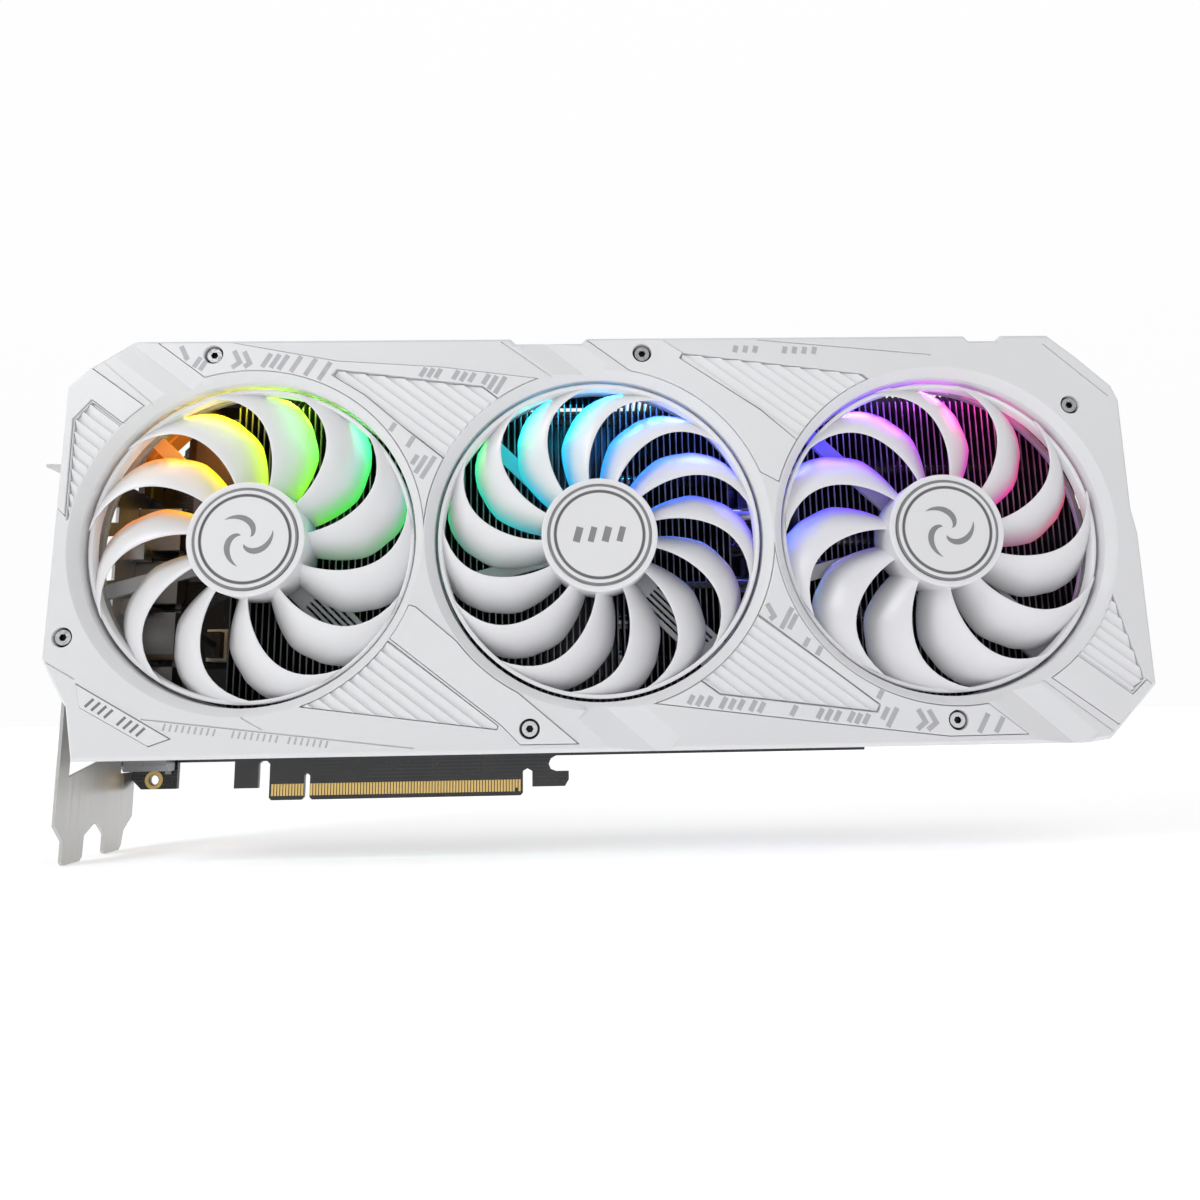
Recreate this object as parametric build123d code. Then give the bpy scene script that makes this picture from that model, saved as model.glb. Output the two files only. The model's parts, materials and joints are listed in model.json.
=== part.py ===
from build123d import *
import math
import os

# Three-fan graphics card, millimetres.
# Origin: key notch of the card edge, on the board's mid-plane, at the bottom of the gold fingers.
# +X runs along the card away from the bracket, +Y points to the backplate, +Z is up.
# The fans face -Y.

os.makedirs("parts", exist_ok=True)

# ---- driving dimensions -------------------------------------------------------------------
X_BRACKET = -59.3            # outer face of the bracket
X_TAIL = 259.2               # far end of the shroud
Z_TOP = 139.8                # top of the shroud
Z_LOW = 16.0                 # bottom of the shroud
Y_FRONT = -50.0              # raised trim, foremost plane
Y_FACE = -49.6               # front face of the shroud itself
Y_BACK = 7.78                # outer face of the backplate
FACE_T = 3.4                 # thickness of the shroud's front wall
WALL_T = 2.0                 # side walls
Y_SKIRT = -14.5              # rear edge of the side walls
POCKET = 1.4                 # depth of the trim pockets
SEAM = 0.25                  # gap round a trim plate
PCB_T = 1.57
Y_PCB = -PCB_T / 2           # component side of the board
CLEAR = 0.1

FAN_Z = 78.5
FAN_PITCH = 102.5
FAN_X_LEFT = -3.5
FAN_X = {"left": FAN_X_LEFT, "centre": FAN_X_LEFT + FAN_PITCH, "right": FAN_X_LEFT + 2 * FAN_PITCH}
BLADES = {"left": 11, "centre": 13, "right": 11}
PHASE = {"left": 8.6, "centre": -11.6, "right": 12.2}    # degrees, first leading edge at the hub
R_BORE = 48.6                # opening in the shroud
R_LIP = 51.0                 # outer edge of the sloping lip
R_TRIM = 51.3                # trim pockets end here
R_TUBE = 50.6                # outside of the fan duct
Y_TUBE = -42.0               # rear end of the fan duct
R_HUB = 17.0
R_RING = 47.6
RING_T = 1.2
BLADE_T = 1.4
BLADE_DEPTH = 8.6
Y_LEAD = -46.4
Y_HUB = -49.0
HUB_T = 1.6
Y_HUB_END = -37.2
Y_HUB_BACK = -38.2           # rear edge of the magnet ring inside the hub
R_MAGNET = 13.9
R_SHAFT = 1.5
SHAFT_FIT = 0.03
Y_SHAFT_END = -35.6
SIDE_RING_Y = (-45.0, -41.4)     # the rings round the outer fans' blades
CENTRE_RING_Y = (-46.8, -42.3)   # the centre fan's ring is deeper
R_CAP = 15.0
CAP_GROOVE = (12.7, 13.2)
# angle of a blade seen from the front, degrees, against radius, for eleven blades
BLADE_WIDTHS = [(16.0, 20.0), (25.0, 22.0), (32.0, 23.5), (38.0, 22.0), (43.0, 24.0),
                (47.5, 29.0)]
R_BEARING = 3.6
BEARING_Y = (-46.2, -34.2)
FRAME_PLATE_Y = (-35.4, -33.8)   # motor plate and struts behind each fan
FRAME_PLATE_R = 16.0
# struts of a fan frame: direction in degrees, half width
STRUTS = [(-45.0, 5.0), (135.0, 2.2), (195.0, 2.2)]
STRUT_SLOTS = (-3.2, -1.6, 0.0, 1.6, 3.2)    # slots along the broad strut, across it
FRAME_POSTS = (-45.0, 75.0, 135.0, 195.0)    # directions of the posts that reach the duct
POLES = 9

# fins and pipes
FIN_T = 0.4
FIN_PITCH = 2.0
FIN_Y = (-30.5, -9.0)
FIN_Z = (22.0, 130.0)
SOCKET_NOTCH = (-14.4, 115.8)  # rear upper corner of a fin, clear of the power inlets
LEFT_FINS = (-15.5, 141.0)
RIGHT_FINS = (163.0, 253.6)
TAIL_FINS_X = 246.0          # fins past here are shorter, to clear the shroud's cut corners
TAIL_FINS_Z = (34.0, 118.0)
NOTCH_X = (46.0, 106.0)      # fins over the cold plate are shorter
NOTCH_Z = (38.0, 112.0)
Y_BLOCK = -15.8
PIPE_R = 3.0
PIPE_Z = (45.0, 57.0, 69.0, 81.0, 93.0, 105.0)
PIPE_Y = -12.4
PIPE_Y_FRONT = -24.5         # the raised pipes in the right-hand stack
GPU_X = 76.0
GPU_Z = 75.0
Y_SUBSTRATE = -2.1           # front of the chip's carrier, of its die and of the cold plate
Y_DIE = -3.1
Y_COLD = -6.5

# openings of the shroud's walls: count, first edge, pitch, length along the wall
BOTTOM_WINDOWS = (9, -14.0, 27.5, 22.0)
TOP_WINDOWS = (5, -38.0, 21.0, 17.0)
TAIL_WINDOWS = (6, 42.0, 12.0, 7.0)
WINDOW_Y = (-33.0, -18.0)
TOP_WINDOW_Y = (-28.0, -18.0)
LIGHT_BAR_X = (60.0, 236.0)
LIGHT_BAR_Y = (-38.0, -31.0)
LIGHT_BAR_Z = (135.4, 138.9)
LED_BOARD_X = (-40.0, 236.0)
LED_BOARD_Y = (-37.0, -31.4)
LED_BOARD_Z = (134.4, 135.4)
LED_COUNT = 24
LED_SIZE = 4.4
LED_H = 1.5

# board
PCB_X = (-58.2, 190.0)
PCB_TOP = 131.0
FINGER_Z = 5.3               # top of the gold fingers
FINGER_W = 0.7
FINGERS_BEFORE = (11, -11.5) # count and first centre, bracket side of the key notch
FINGERS_AFTER = (71, 1.5)
SHORT_FINGER_X = 70.5        # the presence contact is shorter
LAND_T = 0.05
TAB_HOLE = (-51.1, 7.4)
TAB_HOLE_R = 1.6
BACK_SCREWS = [(-30.0, 124.0), (20.0, 24.0), (20.0, 124.0), (112.0, 24.0), (184.0, 24.0),
               (184.0, 104.0)]
CORE_PITCH = 54.0
CORE_SCREWS = [(GPU_X + dx, GPU_Z + dz) for dx in (-CORE_PITCH / 2, CORE_PITCH / 2)
               for dz in (-CORE_PITCH / 2, CORE_PITCH / 2)]
HOLE_R = 1.7                 # clearance holes of the card's own screws
CHOKE_X = (30.0, 128.0)
CHOKE_Z = (33.0, 43.5, 54.0, 65.9, 76.5, 87.1, 98.9, 109.4)
CHOKE_SIZE = (10.0, 9.2)
Y_CHOKE = -6.4
CAPACITOR_X = (18.0, 140.0)
CAPACITOR_Z = (65.0, 73.0, 81.0, 98.0, 106.0)
CAPACITOR_R = 3.1
Y_CAPACITOR = -7.2
MEMORY_SIZE = 12.0
Y_MEMORY = -1.9
PAD_X = (37.4, 40.1)

# power inlets: centres, and the housing's width, depth and height
SOCKET_X = (128.8, 151.2, 173.6)
SOCKET_SIZE = (18.6, 11.4, 20.0)
SOCKET_Z = 117.5
CELL_PITCH = 4.2
CELL_SIZE = 3.6
CELL_FLOOR = 6.0
PIN_SIZE = 1.2
PIN_Z = (123.5, 134.0)

# display sockets
PORT_Z = {"displayport": (18.5, 36.9, 55.3), "hdmi": (73.7, 92.1)}
PORT_X = (-59.0, -44.0)
PORT_Y = (-7.2, -1.4)
PORT_HALF = {"displayport": 8.0, "hdmi": 7.3}
PORT_WALL = 0.4
PORT_FEET_X = (-47.0, -45.0)

# bracket
BRACKET_T = 1.0
BRACKET_TOP = 105.4
FLANGE_OUT = 10.4
SLOT_PITCH = 20.32
NOTCH_Y = -6.4               # screw notch of the flange
NOTCH_HALF = 2.2
NOTCH_X_IN = 2.5
BRACKET_SCREW_Z = (27.7, 46.1, 64.5, 82.9)
BRACKET_SCREW_Y = -11.6
BRACKET_HOLE_R = 1.35
VENTS = (9, 11.0, 9.6)       # count, first and pitch of the plate's slanted slots
EAR_Z = (17.0, 102.0)
EAR_HALF = 3.0
EAR_T = 0.8

# frame, backplate, spring plate
FRAME_Y = (-5.6, -3.6)
FRAME_OPEN_X = ((11.0, 37.0), (121.0, 149.0))
# the frame leaves these spans of Z open for the power parts
FRAME_OPEN_Z = ((28.0, 59.0), (61.0, 92.0), (94.0, 114.4))
BACK_T = 2.0
BACK_RIM_T = 1.6
Y_BACK_RIM = 3.9
SCREW_SHANK_R = 1.25
FLOW_SLOTS = (14, 198.0, 4.0, 2.4)   # count, first, pitch and width of a row
FLOW_ROWS_Z = ((34.0, 68.0), (74.0, 108.0))
SPRING_Y = (2.2, 3.4)

# selector, headers, cables
SWITCH_X = 112.0
SWITCH_TRAVEL = 2.0
HEADERS = {"left": (-30.0, 52.0), "centre": (155.5, 63.0), "right": (155.5, 75.0)}
HEADER_SIZE = (6.8, 10.8)
Y_HEADER = -6.4
Y_PLUG = -9.4
CABLE_R = 1.1
FAR = 200.0                  # beyond the card, for cutting tools


# ---- helpers --------------------------------------------------------------------------------
def box(x0, x1, y0, y1, z0, z1):
    size = (x1 - x0, y1 - y0, z1 - z0)
    return Pos((x0 + x1) / 2, (y0 + y1) / 2, (z0 + z1) / 2) * Box(*size)


def poly(points):
    return make_face(Polyline(*points, close=True))


def slab(sketch, y_front, y_back):
    """A sketch in (X, Z) given thickness from y_front to y_back."""
    return extrude(Plane.XZ.offset(-y_back) * sketch, amount=y_back - y_front)


def disc(radius, y_front, y_back, x=0.0, z=0.0):
    return slab(Pos(x, z) * Circle(radius), y_front, y_back)


def tube(outer, inner, y_front, y_back, x=0.0, z=0.0):
    return slab(Pos(x, z) * (Circle(outer) - Circle(inner)), y_front, y_back)


def along_x(sketch, x0, x1):
    """A sketch in (Y, Z) given length from x0 to x1."""
    return extrude(Plane.YZ.offset(x0) * sketch, amount=x1 - x0)


def group(shapes):
    return Compound(children=[s for shape in shapes for s in shape.solids()])


def ahead(radius, y_back, x, z):
    """A round cutter from in front of the card back to a plane."""
    return disc(radius, -FAR, y_back, x, z)


def spans(count, first, pitch, length):
    return [(first + k * pitch, first + k * pitch + length) for k in range(count)]


def fan_circles(radius):
    return [Pos(x, FAN_Z) * Circle(radius) for x in FAN_X.values()]


def write(name, shape):
    shape.label = name
    export_step(shape, f"parts/{name}.step")


def route(points, radius, bend):
    """A round bar through the points, its corners turned with one bend radius."""
    path = FilletPolyline(*points, radius=bend)
    start = Plane(origin=path @ 0, z_dir=path % 0)
    return sweep(start * Circle(radius), path=path)


# ---- outlines of the shroud and of its trim, (X, Z) --------------------------------------------
OUTLINE = [
    (-59.2, 44.5), (-58.3, 125.3), (-51.3, 132.2), (-48.7, 133.7), (-39.5, Z_TOP),
    (73.0, Z_TOP), (74.5, 138.2), (94.5, 138.2), (96.0, Z_TOP),
    (212.0, Z_TOP), (213.5, 138.2), (222.0, 138.2), (223.5, Z_TOP), (238.0, Z_TOP),
    (246.3, 132.8), (256.3, 123.3), (258.1, 118.7), (258.0, 84.5), (X_TAIL, 77.0),
    (X_TAIL, 32.4), (247.0, 19.7), (244.3, 17.0), (238.0, Z_LOW), (-49.0, Z_LOW), (-51.6, 31.2),
    (-52.8, 32.8), (-56.6, 39.5),
]
TRIM = {
    "trim_upper_left": [(-57.6, 125.0), (-51.2, 131.3), (-34.7, 119.1), (-40.5, 113.5),
                        (-50.3, 121.0), (-55.2, 115.2), (-55.2, 85.5), (-58.0, 88.5)],
    "trim_top_left": [(-32.4, 138.9), (-10.3, 138.9), (21.3, 132.8), (52.0, 130.7), (82.8, 126.6),
                      (70.3, 119.7), (62.0, 108.0), (54.3, 101.3), (49.9, 92.0), (48.5, 80.2),
                      (40.0, 80.2), (-17.4, 127.4)],
    "trim_name_plate": [(-48.7, 37.8), (-21.2, 21.8), (-27.4, 19.7), (-47.0, 30.8)],
    "trim_lower_centre": [(37.2, 49.9), (70.3, 23.8), (75.6, 18.3), (92.4, 18.3), (46.0, 58.0),
                          (40.0, 60.0)],
    "trim_top_centre": [(95.8, 138.9), (109.3, 128.5), (112.0, 112.0), (146.5, 97.0),
                        (154.3, 92.6), (159.7, 105.6), (148.0, 116.2), (124.3, 132.8),
                        (125.3, 134.5), (119.0, 138.9)],
    "trim_lower_right": [(109.5, 29.7), (156.0, 23.7), (197.2, 18.5), (220.3, 18.7),
                         (207.6, 29.1), (190.0, 50.0), (150.5, 77.0), (148.0, 64.0),
                         (120.0, 40.0)],
    "trim_tail_corner": [(227.2, 35.3), (235.9, 41.6), (251.3, 29.7), (255.9, 33.8),
                         (257.6, 32.2), (246.4, 20.9)],
}
RIBBED = {
    "rib_upper_left": [(-55.0, 84.5), (-55.0, 115.0), (-50.3, 120.6), (-40.0, 112.6),
                       (-40.0, 95.0)],
    "rib_top_left": [(21.3, 129.9), (20.0, 128.2), (29.7, 122.0), (42.2, 111.2), (54.3, 101.3),
                     (64.0, 100.0), (70.3, 119.7), (64.5, 124.3)],
    "rib_lower_left": [(37.2, 49.2), (69.6, 23.8), (69.2, 22.6), (13.8, 29.9), (10.0, 55.0)],
    "rib_top_right": [(125.3, 134.5), (124.3, 132.8), (148.0, 116.2), (159.7, 105.6),
                      (172.0, 100.0), (182.6, 124.9), (179.7, 127.4)],
    "rib_lower_right": [(144.0, 54.5), (178.0, 27.8), (177.3, 25.8), (132.4, 31.6),
                        (126.2, 36.3), (120.0, 60.0)],
    "rib_tail": [(252.6, 79.0), (248.8, 59.1), (255.4, 34.0), (251.3, 30.2), (235.9, 42.1),
                 (225.0, 60.0)],
}
# ribbed plates that a trim plate borders
RIB_BESIDE = {"trim_top_left": "rib_top_left", "trim_top_centre": "rib_top_right",
              "trim_lower_right": "rib_lower_right"}
RIB_ANGLE = -37.5
RIB_PITCH = 3.0
RIB_REACH = 90.0             # half the sheet that the ribbed plates are cut from
RIB_H = 0.9
RIB_BASE = 0.9
SCREWS = [(-15.5, 135.0), (-53.5, 50.7), (112.8, 134.5), (78.3, 22.8), (242.4, 117.0),
          (200.2, 23.1)]
SCREW_HEAD_R = 2.2
SCREW_HEAD_T = 1.5
SCREW_SEAT_R = 2.9
SCREW_R = 1.3
BOSS_R = 3.4
Y_BOSS = -38.0
# engraved lines: start and end of each
GROOVES = [[(-48.7, 133.7), (-32.0, 119.3)], [(-58.8, 44.5), (-49.0, 38.8)],
           [(-29.9, 27.4), (46.0, 18.0)], [(-2.4, 27.4), (3.8, 23.8)],
           [(118.7, 138.4), (124.0, 134.4)], [(148.0, 138.5), (201.0, 133.3)],
           [(225.1, 34.5), (245.1, 18.7)], [(236.0, 136.5), (254.5, 119.5)],
           [(70.3, 138.4), (86.2, 126.6)]]
# shallow valleys pressed into the face: start, end, half width
VALLEYS = [[(-44.0, 142.0), (-21.0, 124.0), 6.0], [(80.0, 141.0), (98.0, 126.0), 6.5],
           [(97.0, 31.0), (116.0, 14.0), 7.5], [(214.0, 34.0), (236.0, 14.0), 6.5]]
VALLEY_DEPTH = 1.3
GROOVE_HALF = 0.2
GROOVE_DEPTH = 0.5
RIM_CHAMFER = 1.2
LIP_DEPTH = 1.2
Y_SEAT = Y_FACE + 2.0        # where the face screws' heads sit
BRACKET_ROOM_X = -55.8
BRACKET_ROOM_Y = -39.2


def pocket_sketch(points):
    return poly(points) - fan_circles(R_TRIM)


def inset(points, gap):
    """The polygon drawn in by a gap, cut back from the fan lips by the same gap."""
    smaller = offset(poly(points), amount=-gap, kind=Kind.INTERSECTION)
    return smaller - fan_circles(R_TRIM + gap)


# ---- shroud and trim ------------------------------------------------------------------------
def bar(start, end, half_width, y_front, y_back):
    run = Vector(*end) - Vector(*start)
    middle = (Vector(*start) + Vector(*end)) * 0.5
    angle = math.degrees(math.atan2(run.Y, run.X))
    strip = Pos(middle.X, middle.Y) * Rot(0, 0, angle) * Rectangle(run.length, 2 * half_width)
    return slab(strip, y_front, y_back)


def valley(start, end, half_width):
    """A diamond bar sunk to its middle in the face, which leaves a shallow V."""
    line = Vector(*end) - Vector(*start)
    run = line.normalized()
    frame = Plane(origin=(start[0], Y_FACE, start[1]), x_dir=(-run.Y, 0, run.X),
                  z_dir=(run.X, 0, run.Y))
    section = poly([(-half_width, 0), (0, VALLEY_DEPTH), (half_width, 0), (0, -VALLEY_DEPTH)])
    return extrude(frame * section, amount=line.length)


def shroud():
    outline = poly(OUTLINE)
    inner = offset(outline, amount=-WALL_T, kind=Kind.INTERSECTION)
    plate = slab(outline, Y_FACE, Y_FACE + FACE_T)
    rim_edges = plate.faces().sort_by(Axis.Y)[0].edges()
    body = chamfer(rim_edges, RIM_CHAMFER)
    body += slab(outline - inner, Y_FACE + FACE_T, Y_SKIRT)
    for x in FAN_X.values():
        body += disc(R_TUBE, Y_FACE + FACE_T, Y_TUBE, x, FAN_Z)
    for x, z in SCREWS:
        body += disc(BOSS_R, Y_FACE + FACE_T, Y_BOSS, x, z) & slab(outline, Y_FACE, 0)
    for start, end, half_width in VALLEYS:
        body -= valley(start, end, half_width)
    for x in FAN_X.values():
        body -= ahead(R_BORE, 0, x, FAN_Z)
        cone = Cone(R_BORE, R_LIP, 2 * LIP_DEPTH)
        body -= Pos(x, Y_FACE + LIP_DEPTH, FAN_Z) * Rot(90, 0, 0) * cone
    for points in TRIM.values():
        body -= slab(pocket_sketch(points), -FAR, Y_FACE + POCKET)
    for points in RIBBED.values():
        body -= slab(pocket_sketch(points), -FAR, Y_FACE + RIB_BASE + RIB_H)
    for start, end in GROOVES:
        body -= bar(start, end, GROOVE_HALF, Y_FACE - 1, Y_FACE + GROOVE_DEPTH)
    for x, z in SCREWS:
        body -= ahead(SCREW_SEAT_R, Y_SEAT, x, z)
        body -= ahead(SCREW_R, Y_BOSS - 1.0, x, z)
    # room for the bracket, which closes the left end behind the front wall
    body -= box(-FAR, BRACKET_ROOM_X, BRACKET_ROOM_Y, 0, 0, FAR)
    body -= box(-FAR, PCB_X[0] + 8.2, BRACKET_ROOM_Y, 0, 0, 36)
    for x0, x1 in spans(*BOTTOM_WINDOWS):
        body -= box(x0, x1, *WINDOW_Y, Z_LOW - 3, Z_LOW + 4)
    for x0, x1 in spans(*TOP_WINDOWS):
        body -= box(x0, x1, *TOP_WINDOW_Y, Z_TOP - 4, Z_TOP + 2)
    for z0, z1 in spans(*TAIL_WINDOWS):
        body -= box(X_TAIL - 5, FAR + X_TAIL, *WINDOW_Y, z0, z1)
    body -= box(*LIGHT_BAR_X, *LIGHT_BAR_Y, LIGHT_BAR_Z[0] + 0.6, FAR)
    return max(body.solids(), key=lambda s: s.volume)


def trim_plate(name, points):
    sketch = inset(points, SEAM)
    if name in RIB_BESIDE:
        ribs = poly(RIBBED[RIB_BESIDE[name]])
        sketch -= offset(ribs, amount=SEAM, kind=Kind.INTERSECTION)
    plate = slab(sketch, Y_FRONT, Y_FACE + POCKET)
    for x, z in SCREWS:
        plate -= ahead(SCREW_SEAT_R, 0, x, z)
    return max(plate.solids(), key=lambda s: s.volume)


def ribbed_plate(points):
    """A plate whose face is a saw-tooth of parallel ribs."""
    sketch = inset(points, SEAM)
    reach = RIB_REACH
    profile = [(-reach, 0.0), (reach, 0.0)]
    for k in range(int(2 * reach / RIB_PITCH)):
        right = reach - k * RIB_PITCH
        profile.append((right, RIB_BASE + RIB_H))
        profile.append((right - RIB_PITCH * 0.75, RIB_BASE))
        profile.append((right - RIB_PITCH * 0.9, RIB_BASE))
    profile.append((-reach, RIB_BASE))
    centre = sketch.center()
    angle = math.radians(RIB_ANGLE)
    run = Vector(math.cos(angle), 0, math.sin(angle))
    across = Vector(-math.sin(angle), 0, math.cos(angle))
    floor = Vector(centre.X, Y_FACE + RIB_BASE + RIB_H, centre.Y)
    frame = Plane(origin=floor - run * RIB_REACH, x_dir=across, z_dir=run)
    sheet = extrude(frame * poly(profile), amount=2 * RIB_REACH)
    cut = sheet & slab(sketch, -FAR, 0)
    return max(cut.solids(), key=lambda s: s.volume)


def shroud_screws():
    screws = []
    for x, z in SCREWS:
        head = disc(SCREW_HEAD_R, Y_SEAT - SCREW_HEAD_T, Y_SEAT, x, z)
        socket = slab(Pos(x, z) * RegularPolygon(1.1, 6), -FAR, Y_SEAT - 0.6)
        shank = disc(SCREW_R, Y_SEAT, Y_BOSS - 1.5, x, z)
        screws.append(head + shank - socket)
    return group(screws)


# ---- fans -------------------------------------------------------------------------------------
def blade_width(radius):
    """Angle that a blade spans seen from the front, degrees, for eleven blades."""
    for (r0, w0), (r1, w1) in zip(BLADE_WIDTHS, BLADE_WIDTHS[1:]):
        if radius <= r1:
            return w0 + (w1 - w0) * (radius - r0) / (r1 - r0)
    return BLADE_WIDTHS[-1][1]


def blade_sweep(radius):
    """How far the leading edge has swept round at a radius, degrees."""
    u = max(radius - R_HUB, 0.0) / (R_RING - R_HUB - RING_T)
    return 22.0 * u ** 1.4 + 12.0 * u ** 7


def blade(count, hand):
    """One blade: a skin through rows of points, thickened, and cut between hub and ring."""
    rows = []
    scale = BLADES["left"] / count
    r_in, r_out = R_HUB - 1.0, R_RING - 0.4
    for i in range(9):
        radius = r_in + i * (r_out - r_in) / 8
        row = []
        for j in range(6):
            t = j / 5
            angle = hand * math.radians(blade_sweep(radius) - scale * blade_width(radius) * t)
            y = Y_LEAD + BLADE_DEPTH * (0.8 * t + 0.2 * t * t)
            row.append(Vector(radius * math.cos(angle), y, radius * math.sin(angle)))
        rows.append(row)
    skin = Face.make_surface_from_array_of_points(rows)
    solid = Solid.thicken(skin, hand * BLADE_T)
    return solid & tube(R_RING - RING_T / 2, R_HUB - HUB_T / 2, -FAR, 0)


def impeller(side):
    count = BLADES[side]
    hand = -1 if side == "centre" else 1
    ring_y = CENTRE_RING_Y if side == "centre" else SIDE_RING_Y
    hub = disc(R_HUB, Y_HUB, Y_HUB_END) - disc(R_HUB - HUB_T, Y_HUB + HUB_T, Y_HUB_END)
    hub += tube(R_HUB, R_CAP + 0.2, Y_FACE, Y_HUB)
    hub -= disc(R_SHAFT, Y_HUB - 1, Y_HUB + HUB_T + 1)
    ring = tube(R_RING, R_RING - RING_T, *ring_y)
    one = blade(count, hand)
    blades = [Rot(0, -(PHASE[side] + 360 / count * k), 0) * one for k in range(count)]
    return Pos(FAN_X[side], 0, FAN_Z) * (hub + [ring] + blades)


def fan_nodes(side):
    x = FAN_X[side]
    write(f"fan_{side}_impeller", impeller(side).solid())
    cap = disc(R_CAP, Y_FRONT + 0.2, Y_HUB, x, FAN_Z)
    cap -= tube(CAP_GROOVE[1], CAP_GROOVE[0], Y_FRONT, Y_FRONT + 0.6, x, FAN_Z)
    write(f"fan_{side}_cap", cap.solid())
    magnet = tube(R_HUB - HUB_T, R_MAGNET, Y_HUB + HUB_T, Y_HUB_BACK, x, FAN_Z)
    shaft = disc(R_SHAFT, Y_HUB, Y_SHAFT_END, x, FAN_Z)
    write(f"fan_{side}_rotor", group([magnet, shaft]))


def bearing(x):
    return tube(R_BEARING, R_SHAFT + SHAFT_FIT, *BEARING_Y, x, FAN_Z)


def fan_frame(x):
    """Motor plate, three struts, and a flat ring on four posts behind the duct."""
    y0, y1 = FRAME_PLATE_Y
    frame = tube(R_TUBE, R_BORE + 0.4, y0, y1) + disc(FRAME_PLATE_R, y0, y1)
    for angle in FRAME_POSTS:
        # the post starts inside the ring's wall, clear of its inner edge
        frame += Rot(0, -angle, 0) * box(R_BORE + 0.6, R_TUBE - 0.2, Y_TUBE, y0, -2.0, 2.0)
    for angle, half in STRUTS:
        strut = box(FRAME_PLATE_R - 2, R_BORE + 1.2, y0, y1, -half, half)
        if half > 3.0:
            # the broad strut carries the lead and is slotted
            for z in STRUT_SLOTS:
                strut -= box(22.0, 45.0, -FAR, 0, z - 0.35, z + 0.35)
        frame += Rot(0, -angle, 0) * strut
    frame += tube(R_BEARING + 2.4, R_BEARING, Y_HUB_BACK + 0.2, y0)
    frame -= disc(R_BEARING, -FAR, 0)
    return (Pos(x, 0, FAN_Z) * frame).solid()


def stator(x):
    """Laminated core with wound poles, and a gap between each two pole tips."""
    step = 360.0 / POLES
    pole_y = (-43.6, -41.0)
    core = tube(6.6, R_BEARING, -45.6, -39.0)
    tips = tube(12.6, 11.4, *pole_y)
    for k in range(POLES):
        turn = Rot(0, -step * k, 0)
        core += turn * box(6.0, 12.0, *pole_y, -1.0, 1.0)
        core += turn * box(7.2, 10.6, pole_y[0] - 1.0, pole_y[1] + 1.0, -1.7, 1.7)
        tips -= Rot(0, -step * (k + 0.5), 0) * box(9.0, 15.0, -FAR, 0, -0.8, 0.8)
    core += tips
    return (Pos(x, 0, FAN_Z) * core).solid()


# ---- heatsink -------------------------------------------------------------------------------------
def fin_positions(span):
    count = int((span[1] - span[0] - FIN_T) / FIN_PITCH) + 1
    return [span[0] + k * FIN_PITCH for k in range(count)]


def fin_sketch(holes, notched=False, tail=False):
    y0, y1 = FIN_Y
    z0, z1 = TAIL_FINS_Z if tail else FIN_Z
    if tail:
        face = poly([(y0, z0), (y1, z0), (y1, z1), (y0, z1)])
        for y, z in holes:
            face -= Pos(y, z) * Circle(PIPE_R + CLEAR)
        return face
    y_notch, z_notch = SOCKET_NOTCH
    face = poly([(y0, z0 + 4), (y0 + 4, z0), (y1, z0), (y1, z_notch), (y_notch, z_notch),
                 (y_notch, z1), (y0 + 4, z1), (y0, z1 - 4)])
    if notched:
        (za, zb), ya, yb = NOTCH_Z, Y_BLOCK - CLEAR, y1 + 1
        face -= poly([(ya, za), (yb, za), (yb, zb), (ya, zb)])
    for y, z in holes:
        face -= Pos(y, z) * Circle(PIPE_R + CLEAR)
    return face


def fin_stack(span, holes):
    plain = along_x(fin_sketch(holes), 0, FIN_T)
    short = along_x(fin_sketch([], notched=True), 0, FIN_T)
    tail = along_x(fin_sketch(holes, tail=True), 0, FIN_T)
    fins = []
    for x in fin_positions(span):
        fin = plain
        if NOTCH_X[0] - 1 < x < NOTCH_X[1] + 1:
            fin = short
        elif x > TAIL_FINS_X:
            fin = tail
        fins.append(Pos(x, 0, 0) * fin)
    return group(fins)


def pipe_is_raised(k):
    return k % 2 == 1


def heat_pipes():
    pipes = []
    x0, x1 = LEFT_FINS[0] - 2.0, RIGHT_FINS[1] + 1.5
    for k, z in enumerate(PIPE_Z):
        if pipe_is_raised(k):
            points = [(x0, PIPE_Y, z), (LEFT_FINS[1] + 1.5, PIPE_Y, z),
                      (RIGHT_FINS[0] - 2.0, PIPE_Y_FRONT, z), (x1, PIPE_Y_FRONT, z)]
            pipes.append(route(points, PIPE_R, 8.0))
        else:
            pipes.append(along_x(Pos(PIPE_Y, z) * Circle(PIPE_R), x0, x1))
    return group(pipes)


def base_block():
    block = box(NOTCH_X[0] + 1, NOTCH_X[1] - 1, Y_BLOCK, Y_COLD, NOTCH_Z[0] + 1, NOTCH_Z[1] - 1)
    for z in PIPE_Z:
        block -= along_x(Pos(PIPE_Y, z) * Circle(PIPE_R + CLEAR), 0, FAR)
    return block.solid()


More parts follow.
